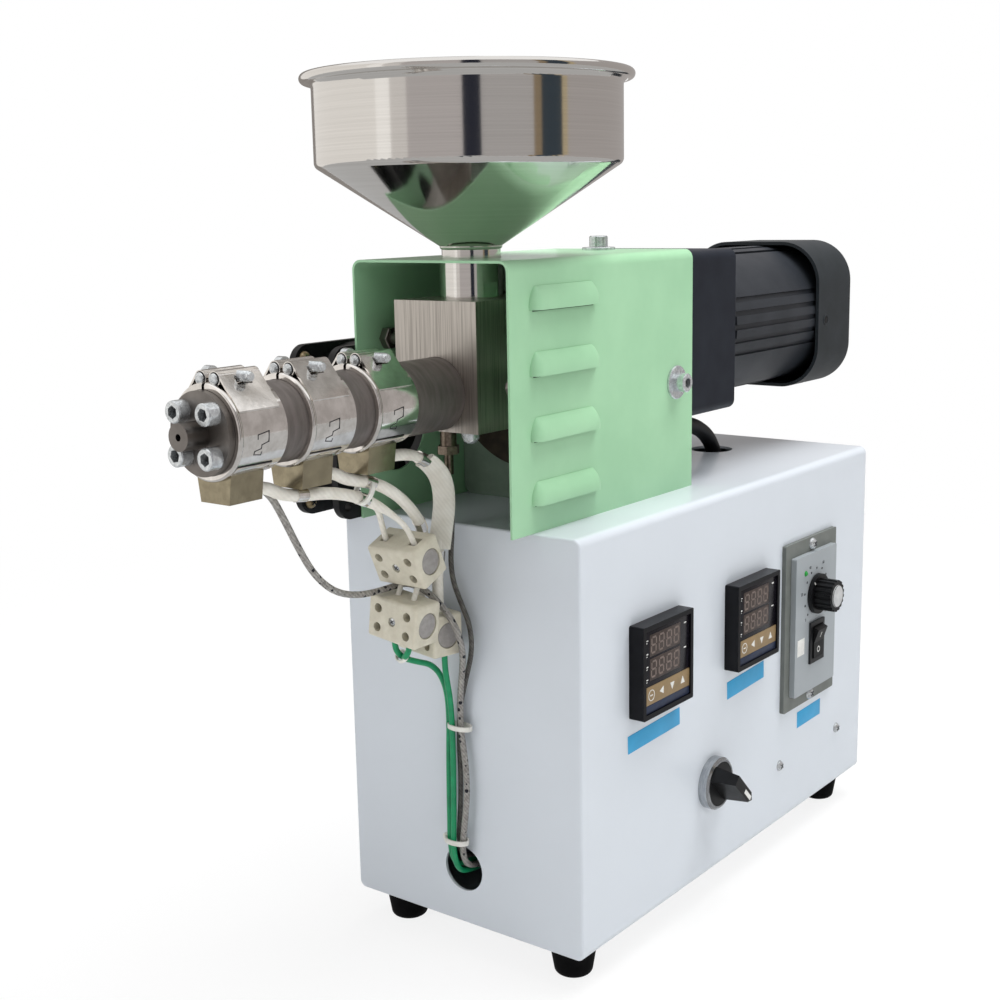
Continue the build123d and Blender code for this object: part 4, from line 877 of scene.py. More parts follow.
@dataclass
class Studio:
    """The camera, the pale floor, the soft light and the dark cards that metal mirrors.

    Attributes:
        eye_mm: Where the camera stands.
        azimuth: Its angle round the machine, in degrees.
        elevation: Its angle above the horizon.
        roll: Its turn about its own line of sight.
        focal_px: Its focal length in pixels of the photograph.
        photo_px: The photograph's width in pixels.
        sensor_mm: The width of its sensor.
        clip_m: The nearest and the farthest that it sees.
        floor_m: Half the side of the floor.
        floor_grey: How pale the floor is.
        glow_m: The distances between which the floor's own light grows.
        glow: Its share at both distances.
        sky: How strong the light all round is, beside one for what the eye sees.
        lamps: The lamps.
        card_m: The radius of the ring of cards, in metres.
        card_rise_m: The height of the cards.
        card_foot_m: How far they and the table card float above the floor.
        facet_deg: The width of one facet of a card.
        cards: The first and the last angle of each card, from the camera's, and its colour.
        table: The colour of the table card.
    """

    eye_mm: Point = (446.13, -642.41, 381.65)
    azimuth: float = 37.72
    elevation: float = 11.17
    roll: float = -1.12
    focal_px: float = 1482.5
    photo_px: float = 1000.0
    sensor_mm: float = 36.0
    clip_m: Pair = (0.01, 50.0)
    floor_m: float = 12.0
    floor_grey: float = 0.93
    glow_m: Pair = (0.35, 1.1)
    glow: Pair = (0.84, 1.0)
    sky: float = 0.41
    lamps: tuple[Lamp, ...] = (
        Lamp("lamp_above", (0.35, 0.4, 1.9), (0, 0, 0.2), 1.3, 42.0),
        Lamp("lamp_right", (1.9, -0.5, 1.2), (0, 0, 0.25), 1.1, 6.3),
        Lamp("lamp_front", (-0.5, -2.0, 1.2), (0, 0, 0.25), 1.0, 9.0),
    )
    card_m: float = 1.3
    card_rise_m: float = 1.5
    card_foot_m: Pair = (0.01, 0.004)
    facet_deg: float = 5.0
    cards: tuple[tuple[float, float, str], ...] = (
        (-178, -146, "8E8985"), (-146, -65, "EFECE8"), (-65, -54, "FFFDFA"), (-54, -42, "D6D2CF"),
        (-42, -5, "B7B2B1"), (-5, 7, "2A2C36"), (7, 44, "AEABAA"), (44, 50, "8A7A64"),
        (50, 67, "3A434B"), (67, 72, "B3A588"), (72, 178, "ABA6A4"),
    )
    table: str = "B8B8B8"

    def build(self) -> None:
        """Make all of it."""
        self.camera()
        self.floor()
        self.world()
        for lamp in self.lamps:
            lamp.build()
        self.surround()
        bpy.context.scene.view_settings.view_transform = "Standard"

    def camera(self) -> None:
        """Put the camera at the photograph's place and angle."""
        data = bpy.data.cameras.new("camera")
        data.sensor_width = self.sensor_mm
        data.lens = self.focal_px / self.photo_px * self.sensor_mm
        data.clip_start, data.clip_end = self.clip_m
        turn, lift = math.radians(self.azimuth), math.radians(self.elevation)
        back = Vector((math.sin(turn) * math.cos(lift), -math.cos(turn) * math.cos(lift), math.sin(lift)))
        right = Vector((math.cos(turn), math.sin(turn), 0))
        up = back.cross(right)
        lean = math.radians(self.roll)
        across = math.cos(lean) * right + math.sin(lean) * up
        above = math.cos(lean) * up - math.sin(lean) * right
        made = stand("camera", data)
        place = Matrix((across, above, back)).transposed().to_4x4()
        made.matrix_world = Matrix.Translation(Vector(self.eye_mm) * MM) @ place
        bpy.context.scene.camera = made

    @staticmethod
    def seen(tree: Tree) -> Socket:
        """One for rays from the camera, from a mirror or through glass."""
        path = add_node(tree, "ShaderNodeLightPath").outputs
        mirror = {0: path["Is Camera Ray"], 1: path["Is Glossy Ray"]}
        both = add_node(tree, "ShaderNodeMath", mirror, operation="ADD", use_clamp=True)
        glass = {0: both.outputs[0], 1: path["Is Transmission Ray"]}
        return add_node(tree, "ShaderNodeMath", glass, operation="ADD", use_clamp=True).outputs[0]

    def floor(self) -> None:
        """A pale floor that keeps a soft shadow."""
        shape = bmesh.new()
        bmesh.ops.create_grid(shape, x_segments=1, y_segments=1, size=self.floor_m)
        material = bpy.data.materials.new("pale_floor")
        tree = bare_tree(material)
        place = add_node(tree, "ShaderNodeTexCoord").outputs["Object"]
        reach = add_node(tree, "ShaderNodeVectorMath", {0: place}, operation="LENGTH").outputs["Value"]
        near, far = self.glow_m
        low, high = self.glow
        fade = {"Value": reach, "From Min": near, "From Max": far, "To Min": low, "To Max": high}
        even = add_node(tree, "ShaderNodeMapRange", fade).outputs[0]
        share = add_node(tree, "ShaderNodeMath", {0: self.seen(tree), 1: even}, operation="MULTIPLY")
        matt = add_node(tree, "ShaderNodeBsdfDiffuse", {"Color": (*[self.floor_grey] * 3, 1)})
        white = add_node(tree, "ShaderNodeEmission", {"Color": (1, 1, 1, 1), "Strength": 1.0})
        mixed = {0: share.outputs[0], 1: matt.outputs[0], 2: white.outputs[0]}
        mix = add_node(tree, "ShaderNodeMixShader", mixed)
        add_node(tree, "ShaderNodeOutputMaterial", {"Surface": mix.outputs[0]})
        self.staged("floor", shape, material)

    def world(self) -> None:
        """White to the eye and in mirrors, and a weaker soft light all round."""
        world = bpy.data.worlds.new("studio")
        bpy.context.scene.world = world
        tree = bare_tree(world)
        strength = {"Value": self.seen(tree), "To Min": self.sky, "To Max": 1.0}
        level = add_node(tree, "ShaderNodeMapRange", strength)
        light = {"Color": (1, 1, 1, 1), "Strength": level.outputs[0]}
        back = add_node(tree, "ShaderNodeBackground", light)
        add_node(tree, "ShaderNodeOutputWorld", {"Surface": back.outputs[0]})

    def surround(self) -> None:
        """A ring of grey and brown cards, and a table card, that only mirrors see."""
        foot_m, table_m = self.card_foot_m
        for number, (start, end, shade) in enumerate(self.cards):
            first = math.radians(self.azimuth - 90 + start)
            foot = Matrix.Rotation(first, 4, "Z") @ Vector((self.card_m, 0, foot_m))
            shape = bmesh.new()
            line = [shape.verts.new(foot), shape.verts.new(foot + Vector((0, 0, self.card_rise_m)))]
            edge = shape.edges.new(line)
            bmesh.ops.spin(
                shape, geom=[*line, edge], cent=(0, 0, 0), axis=(0, 0, 1), angle=math.radians(end - start),
                steps=max(2, round((end - start) / self.facet_deg)), use_merge=False, use_duplicate=False,
            )
            self.card("card_%d" % number, shape, shade)
        table = bmesh.new()
        bmesh.ops.create_circle(table, cap_ends=True, segments=48, radius=self.card_m)
        bmesh.ops.translate(table, vec=(0, 0, table_m), verts=table.verts)
        self.card("card_table", table, self.table)

    def card(self, name: str, shape: Shape, shade: str) -> None:
        """One card of an even colour.

        Args:
            name: Its name.
            shape: Its shape, which is used up.
            shade: Its colour.
        """
        material = bpy.data.materials.new(name)
        tree = bare_tree(material)
        even = add_node(tree, "ShaderNodeEmission", {"Color": linear(shade), "Strength": 1.0})
        add_node(tree, "ShaderNodeOutputMaterial", {"Surface": even.outputs[0]})
        self.staged(name, shape, material, mirrored=True)

    @staticmethod
    def staged(name: str, shape: Shape, material: bpy.types.Material, mirrored: bool = False) -> None:
        """A thing of the studio, which is no part of the machine.

        Args:
            name: Its name.
            shape: Its shape, which is used up.
            material: What it is made of.
            mirrored: Whether only mirrors show it.
        """
        mesh = bpy.data.meshes.new(name)
        shape.to_mesh(mesh)
        shape.free()
        mesh.materials.append(material)
        made = stand(name, mesh)
        if mirrored:
            made.visible_camera = made.visible_diffuse = made.visible_shadow = False
            made.visible_transmission = made.visible_volume_scatter = False


def cord(
    name: str, width: float, places: Sequence[Vector], finish: Finish, smooth: tuple[int, int],
    shares: Sequence[float] = (),
) -> Piece:
    """A round cord as one smooth spline.

    Args:
        name: The piece's name.
        width: Its diameter in millimetres.
        places: Its points in millimetres.
        finish: Its jacket.
        smooth: How finely it is rounded, and how finely it is drawn between two points.
        shares: The share of its diameter at each point, where that isn't one.

    Returns:
        The piece, which rides on the machine.
    """
    data = bpy.data.curves.new(name, "CURVE")
    data.dimensions = "3D"
    data.bevel_depth = width / 2 * MM
    data.bevel_resolution, data.resolution_u = smooth
    data.use_fill_caps = True
    spline = data.splines.new("NURBS")
    spline.points.add(len(places) - 1)
    for point, place in zip(spline.points, places):
        point.co = (*(place * MM), 1.0)
    for point, share in zip(spline.points, shares):
        point.radius = share
    spline.order_u = 3
    spline.use_endpoint_u = True
    data.materials.append(finish.material())
    made = stand(name, data)
    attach(made, Body.MACHINE.value)
    return made


@dataclass
class Lead:
    """One free lead: the route that its CAD tube takes, and what it ends in.

    Attributes:
        node: The CAD node that it replaces.
        name: The piece's name.
        diameter: Its diameter in millimetres.
        length: Its length in millimetres, from end to end as the photograph shows it.
        finish: Its jacket.
        slot: The record's material slot.
        steps: Its points in millimetres from its own origin, as the CAD source lists them.
        origin: That origin.
        far_end: What it ends in.
        stiffness: How it holds its shape.
        thin: The first and the last point where it is only one wire thick.
        thin_share: The wire's share of the diameter.
        carries: CAD nodes that hang on it.
    """

    node: str
    name: str
    diameter: float
    length: float
    finish: Finish
    slot: str
    steps: tuple[Point, ...]
    origin: Point = CABINET_FRONT
    far_end: FarEnd = FarEnd.OBJECT
    stiffness: Stiffness = Stiffness.MEDIUM
    thin: tuple[int, int] = (0, 0)
    thin_share: float = 0.5
    carries: tuple[str, ...] = ()
    piece: Piece = field(default=None, repr=False)

    def route(self) -> list[Vector]:
        """Its points in the shared frame, in millimetres."""
        return [Vector(self.origin) + Vector(step) for step in self.steps]

    def shares(self) -> list[float]:
        """The share of its diameter at each point, less where only one of its wires goes on."""
        first, last = self.thin
        thin = range(first, last + 1) if first else ()
        return [self.thin_share if index in thin else 1.0 for index in range(len(self.steps))]

    def build(self) -> None:
        """Make the lead as one smooth spline along its route."""
        route, shares = self.route(), self.shares()
        self.piece = cord(self.name, self.diameter, route, self.finish, LEAD_SMOOTH, shares)
        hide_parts(self.node)
        LOG.info("%s: lead of %.0f mm", self.name, self.length)

    def line(self) -> list[Vector]:
        """The points of its smooth middle line, in millimetres."""
        bare = bpy.data.objects.new("bare", self.piece.data.copy())
        bare.data.bevel_depth = 0
        mesh = bpy.data.meshes.new_from_object(bare)
        points = [vert.co / MM for vert in mesh.vertices]
        bpy.data.meshes.remove(mesh)
        bpy.data.curves.remove(bare.data)
        return points

    def declare(self, *pieces: Piece) -> None:
        """Look up the CAD nodes that hang on it and its first point; nothing is done with them.

        Args:
            pieces: The pieces of the scene that sit on it. Not used.
        """
        hung = [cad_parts[node] for node in self.carries]
        tuple(self.route()[0] * MM)


@dataclass
class Harness:
    """All leads, their crimps and ties, and the screws of the terminal blocks.

    Attributes:
        leads: The leads by their CAD nodes.
        crimp: The length, width and thickness of a crimp band.
        crimp_at: Each heater lead's CAD node, with its crimps' distances from its start.
        strands: The name, diameter, jacket, slot and points of each short wire.
        rings: The name, place, axis, inner width and height, width and thickness of each nylon ring.
        sleeve_at: Where the flat sleeve starts and ends on the third heater lead.
        sleeve: The width and thickness of the flat sleeve.
        sleeve_turn: The turn of its flat side, in degrees.
        ties: The place and the oval of each tie round the bundle.
        tie: The width and thickness of a tie.
        tie_lock: The size of a tie's lock.
        lock_at: Where the lock sits, from the oval's end.
        lock_edge: The radius of its edges.
        blocks: Each terminal block, where its face looks, and its turn in degrees.
        block_screw: The diameter and height of a block's middle screw, and its seat from the block's middle.
        clamp_screw: The same of its four clamp screws.
        clamp_at: How far those lie from the middle, across and up.
        disc: The outline of the disc in each end.
        disc_at: How far the discs lie from the middle.
    """

    leads: dict[str, Lead] = field(default_factory=dict)
    crimp: Point = (6.5, 6.6, 6.2)
    crimp_at: tuple[tuple[str, Pair], ...] = (
        ("heater_lead_1", (28.0, 70.0)), ("heater_lead_2", (30.0, 78.0)), ("heater_lead_3", (27.0, 84.0)),
    )
    strands: tuple[tuple[str, float, Finish, str, tuple[Point, ...]], ...] = (
        ("split_wire", 2.8, GLASS_SLEEVE, "white_sleeve", (
            (-1.9, -60.0, 250.8), (-4.4, -51.5, 246.0), (-8.6, -44.8, 240.2), (-12.0, -39.6, 233.4),
            (-13.0, -35.9, 225.6),
        )),
        ("green_branch", 3.0, GREEN_PVC, "green_wire", (
            (-2.1, -33.9, 178.3), (-2.5, -33.9, 173.6), (-5.2, -33.5, 169.4), (-9.0, -31.1, 167.2),
            (-9.2, -27.1, 165.4),
        )),
    )
    rings: tuple[tuple[str, Point, Point, Pair, float, float], ...] = (
        ("bundle_ring", (AXIS_X - 0.2, -156.5, 256.6), (0.0, 0.88, -0.48), (8.6, 12.4), 2.6, 0.9),
        ("green_ring", (-17.6, -123.4, 167.9), (0.31, 0.66, -0.69), (8.4, 5.2), 2.0, 0.7),
    )
    sleeve_at: Pair = (32.0, 83.0)
    sleeve: Pair = (11.0, 3.5)
    sleeve_turn: float = -34.0
    ties: tuple[tuple[Point, Pair], ...] = (
        ((-3.6, -97.4, 127.0), (13.0, 6.6)), ((-6.6, -98.6, 66.0), (13.0, 7.4)),
    )
    tie: Pair = (2.4, 0.8)
    tie_lock: Point = (3.6, 3.2, 3.2)
    lock_at: Point = (0.6, -1.2, -1.6)
    lock_edge: float = 0.5
    blocks: tuple[tuple[str, Point, float], ...] = (
        ("terminal_block_upper", (0.0, -0.917, -0.399), 0.0),
        ("terminal_block_lower", (0.0, -1.0, 0.0), -7.0),
        ("terminal_block_rear", (-0.208, -0.978, 0.0), 0.0),
    )
    block_screw: Point = (4.9, 1.7, 7.2)
    clamp_screw: Point = (4.3, 1.2, 2.1)
    clamp_at: Pair = (9.0, 4.83)
    disc: Profile = ((0.0, 0.8), (5.8, 0.8), (6.2, 0.5), (6.2, 0.0))
    disc_at: float = 13.9

    def build(self) -> None:
        """Make the leads, then what sits on them."""
        for lead in self.routes():
            lead.build()
            self.leads[lead.node] = lead
        split, branch = [self.strand(*row) for row in self.strands]
        crimps = [self.crimps(*row) for row in self.crimp_at]
        sleeve = self.flat_sleeve()
        pair_ring, green_ring = [self.ring(*row) for row in self.rings]
        riders = {
            "heater_lead_1": (crimps[0], split, pair_ring),
            "heater_lead_2": (crimps[1],),
            "heater_lead_3": (crimps[2], sleeve),
            "braid_lead": (self.bundle_ties(),),
            "green_lead_1": (branch, green_ring),
            "thermo_lead": (),
            "green_lead_2": (),
            "motor_cable": (),
        }
        for node, pieces in riders.items():
            self.leads[node].declare(*pieces)
        self.block_screws()
        dress(STEATITE, *[node for node, _, _ in self.blocks])
        dress(GLASS_SLEEVE, "link_leads")
        dress(SHADED_BRASS, "thermocouple")

    @staticmethod
    def routes() -> list[Lead]:
        """The leads with their routes, which the CAD source gives too."""
        return [
            Lead(
                "heater_lead_1", "heater_sleeve_1", 5.6, 112.0, GLASS_SLEEVE, "white_sleeve",
                (
                    (0, -134.8, 268.6), (0, -126, 268.6), (-0.05, -116, 263.2), (-0.25, -104, 260.9),
                    (-0.55, -87.5, 259.4), (-1.55, -71, 255.4), (-2.2, -57, 249.6), (0.5, -45.6, 242.1),
                    (4.0, -38.8, 234.0), (4.95, -35.9, 225.6),
                ),
                far_end=FarEnd.CONNECTOR, thin=(7, 9),
                carries=("terminal_block_upper", "link_leads", "terminal_block_lower"),
            ),
            Lead(
                "heater_lead_2", "heater_sleeve_2", 5.6, 130.6, GLASS_SLEEVE, "white_sleeve",
                (
                    (0, -93.8, 268.6), (0, -85, 268.6), (0.15, -75, 263.0), (0.65, -61, 260.6),
                    (1.25, -45.5, 253.0), (0.25, -31.1, 241.4), (-3.75, -19.5, 229.4),
                    (-9.15, -13.7, 215.0), (-13.15, -12.9, 201.0), (-13.15, -12.9, 188.0),
                ),
                far_end=FarEnd.CONNECTOR, carries=("terminal_block_rear",),
            ),
            Lead(
                "heater_lead_3", "heater_sleeve_3", 5.6, 114.5, GLASS_SLEEVE, "white_sleeve",
                (
                    (0, -52.8, 270.0), (0, -41.5, 270.0), (-0.05, -29, 268.0), (0.05, -17.5, 262.6),
                    (0.05, -9.1, 253.5), (-0.05, -7.3, 241.5), (-0.35, -10.1, 228.0),
                    (-1.05, -12.5, 214.0), (-1.55, -12.7, 200.5), (-1.55, -12.7, 188.0),
                ),
                far_end=FarEnd.CONNECTOR, thin=(3, 6), carries=("terminal_block_rear",),
            ),
            Lead(
                "braid_lead", "braided_lead", 3.2, 322.9, METAL_BRAID, "metal_braid",
                (
                    (-5.35, -134.8, 268.6), (-5.35, -126, 268.6), (-5.95, -116.5, 262.6),
                    (-6.55, -109, 251), (-7.35, -100.5, 236.5), (-8.75, -90, 221.5),
                    (-10.35, -76.5, 210.5), (-11.95, -61, 204.8), (-12.95, -45.5, 202.9),
                    (-13.35, -32, 202.9), (-11.95, -25.1, 203.2), (-8.35, -20.9, 201.6),
                    (-2.25, -18.7, 198.2), (4.75, -18.1, 193.2), (10.45, -17.1, 186.4),
                    (13.25, -14.7, 177.5), (11.65, -10.5, 166.5), (7.65, -7.1, 155), (4.65, -5.3, 141),
                    (4.25, -4.7, 125), (6.65, -4.7, 109), (7.45, -4.7, 93), (5.85, -5.3, 77),
                    (4.05, -5.9, 62.5), (3.65, -2.9, 52.6), (3.75, 5, 49), (3.75, 13.5, 48),
                ),
            ),
            Lead(
                "thermo_lead", "thermocouple_lead", 2.6, 216.3, THERMO_BRAID, "metal_braid",
                (
                    (0, -3.5, 255), (0, -3.5, 247), (0.85, -3.1, 237), (2.25, -5.2, 226),
                    (3.05, -7.9, 214), (4.25, -8.1, 203), (8.45, -7.1, 192), (13.05, -6.3, 181),
                    (12.65, -4.5, 168), (6.65, -2.7, 152), (1.65, -2.3, 135), (0.95, -2.3, 117),
                    (1.45, -2.3, 99), (1.05, -2.7, 82), (0.05, -3.5, 68), (-0.15, -2.1, 58.4),
                    (-0.15, 4, 53.2), (-0.15, 12, 52.2),
                ),
            ),
            Lead(
                "green_lead_1", "green_wire_1", 3.0, 158.8, GREEN_PVC, "green_wire",
                (
                    (-11.573, -33.915, 178.892), (-12.06, -33.915, 174.922), (-11.75, -32.7, 170.2),
                    (-9.95, -28.9, 166.2), (-7.15, -22.5, 163.4), (-5.15, -15.5, 160.8),
                    (-3.95, -9.7, 154.6), (-2.55, -6.3, 144.4), (-3.15, -4.7, 129), (-3.95, -4.7, 111),
                    (-4.15, -4.9, 94), (-3.95, -5.3, 77), (-3.75, -5.9, 62), (-3.45, -3, 51.5),
                    (-3.35, 5, 48), (-3.35, 13.5, 47.4),
                ),
                stiffness=Stiffness.LIMP,
            ),
            Lead(
                "green_lead_2", "green_wire_2", 3.0, 137.4, GREEN_PVC, "green_wire",
                (
                    (2.25, -13.5, 166.98), (2.25, -13.5, 160.5), (1.95, -11.9, 153),
                    (1.05, -8.9, 143.5), (0.25, -6.7, 130), (-0.25, -5.9, 112), (-0.35, -6.1, 94),
                    (-0.15, -6.9, 76), (0.05, -8.1, 60), (0.05, -4.5, 49), (0.05, 4.5, 45.4),
                    (0.05, 13.5, 44.8),
                ),
                stiffness=Stiffness.LIMP,
            ),
            Lead(
                "motor_cable", "motor_flex", 9.5, 81.1, BLACK_PVC, "black_cable",
                (
                    (0, 0, 0), (0, 0, -6.2), (-0.15, 3.8, -11.6), (-0.65, 12, -13.8),
                    (-1.75, 24, -16.4), (-2.95, 37, -21.2), (-3.75, 47.4, -28.0), (-4.15, 55, -37.6),
                    (-4.25, 57.5, -50.8),
                ),
                origin=GLAND_TIP, stiffness=Stiffness.STIFF,
            ),
        ]

    def crimps(self, node: str, places: Sequence[float]) -> Piece:
        """Steel crimp bands on a heater lead.

        Args:
            node: The lead's CAD node.
            places: The distance of each from the lead's start, in millimetres.

        Returns:
            The piece.
        """
        mould = Mould()
        line = self.leads[node].line()
        long, wide, thick = self.crimp
        for place in places:
            mould.tube(stretch(line, place, place + long), wide, thick, BAND_STAINLESS)
        return mould.piece("crimps_" + node, "stainless")

    @staticmethod
    def strand(name: str, width: float, finish: Finish, slot: str, steps: Sequence[Point]) -> Piece:
        """A short single wire.

        Args:
            name: The piece's name.
            width: Its diameter in millimetres.
            finish: Its jacket.
            slot: The record's material slot. Not used.
            steps: Its points from the middle of the cabinet's front.

        Returns:
            The piece.
        """
        places = [Vector(CABINET_FRONT) + Vector(step) for step in steps]
        made = cord(name, width, places, finish, STRAND_SMOOTH)
        LOG.info("%s: strand", name)
        return made

    def flat_sleeve(self) -> Piece:
        """The flat, folded sleeve over the third heater lead."""
        mould = Mould()
        line = stretch(self.leads["heater_lead_3"].line(), *self.sleeve_at)
        mould.tube(line, *self.sleeve, GLASS_SLEEVE, 18, self.sleeve_turn)
        return mould.piece("flat_sleeve_3", "white_sleeve")

    @staticmethod
    def ring(
        name: str, at: Point, axis: Point, size: Pair, wide: float, thick: float
    ) -> Piece:
        """A nylon ring where two wires meet.

        Args:
            name: The piece's name.
            at: Its middle in millimetres.
            axis: The wires' direction there.
            size: Its inner width and height.
            wide: Its width along the wires.
            thick: Its thickness.

        Returns:
            The piece.
        """
        mould = Mould()
        mould.band(placed(at, axis), size, wide, thick, NYLON)
        return mould.piece(name, "white_sleeve")

    def bundle_ties(self) -> Piece:
        """Nylon ties round the bundle in front of the cabinet."""
        mould = Mould()
        beside, rise, lift = self.lock_at
        for at, size in self.ties:
            place = placed(at, Facing.UP)
            mould.band(place, size, *self.tie, NYLON)
            lock = moved(place, size[0] / 2 + beside, rise, lift)
            mould.box(self.tie_lock, lock, NYLON, self.lock_edge)
        return mould.piece("bundle_ties", "white_sleeve")

    def block_screws(self) -> None:
        """Screws in the blocks' holes, the middle one near the face, and a disc in each end."""
        for node, lean, turn in self.blocks:
            low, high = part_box(node)
            centre = (Vector(low) + Vector(high)) / 2 / MM
            place = placed(tuple(centre), lean, turn)
            mould = Mould()
            head, height, lift = self.block_screw
            mould.cross_screw(head, height, moved(place, 0, 0, lift), BRIGHT_ZINC)
            head, height, lift = self.clamp_screw
            for across in (-self.clamp_at[0], self.clamp_at[0]):
                for rise in (-self.clamp_at[1], self.clamp_at[1]):
                    mould.cross_screw(head, height, moved(place, across, rise, lift), PLATED_BRASS)
            for side in (-1, 1):
                end = turned(moved(place, side * self.disc_at, 0), side * 90, "Y")
                mould.lathe(self.disc, end, FIBRE_DISC, 36)
            mould.piece(node + "_screws", "stainless")


@dataclass
class Cabinet:
    """The white cabinet, its feet and the bare labels and screws on its side.

    Attributes:
        labels: Each label's place along the panel, level, width, height and tilt in degrees.
        label_thick: The labels' thickness.
        label_edge: The radius of their edges.
        screws: The place along the panel and the height of each screw.
        screw: The diameter and height of a screw's head.
    """

    labels: tuple[tuple[float, ...], ...] = (
        (-26.8, 118.3, 50.0, 9.4, 1.6), (70.2, 119.0, 42.6, 10.0, 2.2), (151.0, 76.0, 31.0, 10.0, 0.8),
    )
    label_thick: float = 0.15
    label_edge: float = 0.04
    screws: tuple[Pair, ...] = ((113.2, 54.3), (190.0, 55.1))
    screw: Pair = (6.4, 2.2)

    def build(self) -> None:
        """Dress the sheets and add what is fixed to them."""
        dress(WHITE_ENAMEL, "cabinet_wrap", "cabinet_front", "cabinet_back", "cabinet_base")
        dress(SOFT_RUBBER, "foot_front_left", "foot_front_right", "foot_rear_left", "foot_rear_right")
        mould = Mould()
        for y, z, width, height, tilt in self.labels:
            place = placed((RIGHT_X, y, z), Facing.RIGHT, tilt)
            mould.box((width, height, self.label_thick), place, BLUE_VINYL, self.label_edge)
        mould.piece("blank_labels", "white_paint")
        mould = Mould()
        for y, z in self.screws:
            mould.cross_screw(*self.screw, placed((RIGHT_X, y, z), Facing.RIGHT), BRIGHT_ZINC)
        mould.piece("panel_screws", "stainless")


@dataclass
class Hood:
    """The mint hood, the plates under it, its bolts and the studs beside the block.

    Attributes:
        bolts: The place and the direction of each bolt.
        washer: The outline of a bolt's washer.
        washer_thick: Its thickness.
        head: The diameter, height and key of a bolt's head.
        louvre_shadow: The size of the painted shadow, a dark strip under each louvre's lower lip.
        louvre_shadow_y: The strips' middle along the wall.
        louvre_shadow_z: The lowest strip's height.
        louvre_shadow_step: The step between louvres.
        louvre_shadow_count: The number of louvres.
        stud_at: The left stud's foot on the hood's wall.
        tip_at: The right stud's foot.
        stud: The outline of the left stud.
        tip: The outline of the right one, of which less shows.
        nut: The outline of their nuts.
        button_at: The seat of the screw under the block.
        button: The outline of its head.
    """

    bolts: tuple[tuple[Point, Facing], ...] = (
        ((HOOD_RIGHT_X, 37.5, 288.5), Facing.RIGHT),
        ((AXIS_X, 35.5, HOOD_TOP_Z), Facing.UP),
        ((HOOD_LEFT_X, 37.5, 288.5), Facing.LEFT),
    )
    washer: Profile = ((3.2, 1.5), (8.6, 1.5), (9.0, 1.1), (9.0, 0.0))
    washer_thick: float = 1.5
    head: Point = (10.0, 6.0, 5.8)
    louvre_shadow: Point = (50.0, 0.8, 0.12)
    louvre_shadow_y: float = -65.5
    louvre_shadow_z: float = TOP_Z + 13.1
    louvre_shadow_step: float = 30.5
    louvre_shadow_count: int = 4
    stud_at: Point = (-53.6, -86.9, 318.6)
    tip_at: Point = (HOOD_RIGHT_X - 1.4, -99.0, 300.0)
    stud: Profile = ((0.0, 0.0), (3.0, 0.0), (3.0, 21.0), (0.0, 21.0))
    tip: Profile = ((0.0, 0.0), (3.0, 0.0), (3.0, 6.2), (2.4, 7.0), (0.0, 7.0))
    nut: Profile = ((0.0, 0.0), (5.4, 0.0), (5.8, 0.5), (5.8, 4.2), (5.4, 4.7), (0.0, 4.7))
    button_at: Point = (8.6, -98.5, 277.0)
    button: Profile = ((0.0, 5.6), (1.8, 5.3), (3.4, 4.2), (4.3, 2.4), (4.5, 0.0))

    def build(self) -> None:
        """Dress the sheets and add the bolts."""
        dress(MINT_ENAMEL, "hood")
        dress(PLATE_PAINT, "bearing_plate", "gearbox_plate")
        dress(DARK_BRONZE, "bearing_flange")
        mould = Mould()
        for at, facing in self.bolts:
            place = placed(at, facing)
            mould.lathe(self.washer, place, BRIGHT_ZINC, 40)
            mould.socket_screw(*self.head, moved(place, 0, 0, self.washer_thick), BRIGHT_ZINC)
        mould.piece("hood_bolts", "stainless")
        # Dark green strips under the louvres: painted shadow.
        shadow_strips = Mould()
        for row in range(self.louvre_shadow_count):
            at = (HOOD_RIGHT_X, self.louvre_shadow_y, self.louvre_shadow_z + self.louvre_shadow_step * row)
            shadow_strips.box(self.louvre_shadow, placed(at, Facing.RIGHT), LOUVRE_SHADOW)
        shadow_strips.piece("louvre_painted_shadows", "green_paint")
        self.studs()

    def studs(self) -> None:
        """The studs between the block and the hood's walls, and the screw under the block."""
        mould = Mould()
        left, right = placed(self.stud_at, Facing.RIGHT), placed(self.tip_at, Facing.LEFT)
        for rod, place in ((self.stud, left), (self.tip, right)):
            mould.lathe(rod, place, GROUND_STEEL, 20)
            mould.lathe(self.nut, place, GROUND_STEEL, 6)
        mould.lathe(self.button, placed(self.button_at, Facing.DOWN), BRIGHT_ZINC, 24)
        mould.piece("block_studs", "milled_steel")


@dataclass
class BarrelLine:
    """The feed block, the barrel, the die with its screws and the hopper.

    Attributes:
        screw_step: How far the die's screws lie from its middle, across and up.
        head: The diameter, height and key of a screw's head.
    """

    screw_step: float = 8.9
    head: Point = (9.4, 5.8, 5.6)

    def build(self) -> None:
        """Dress the line and add the die's screws."""
        dress(MILLED_STEEL, "feed_block")
        dress(TURNED_STEEL, "barrel")
        dress(GROUND_STEEL, "die")
        dress(SPUN_STAINLESS, "hopper", "feed_sleeve")
        mould = Mould()
        for across in (-self.screw_step, self.screw_step):
            for rise in (-self.screw_step, self.screw_step):
                place = placed((AXIS_X + across, DIE_Y, AXIS_Z + rise), Facing.FRONT, across + rise)
                mould.socket_screw(*self.head, place, BRIGHT_ZINC)
        mould.piece("die_screws", "stainless")


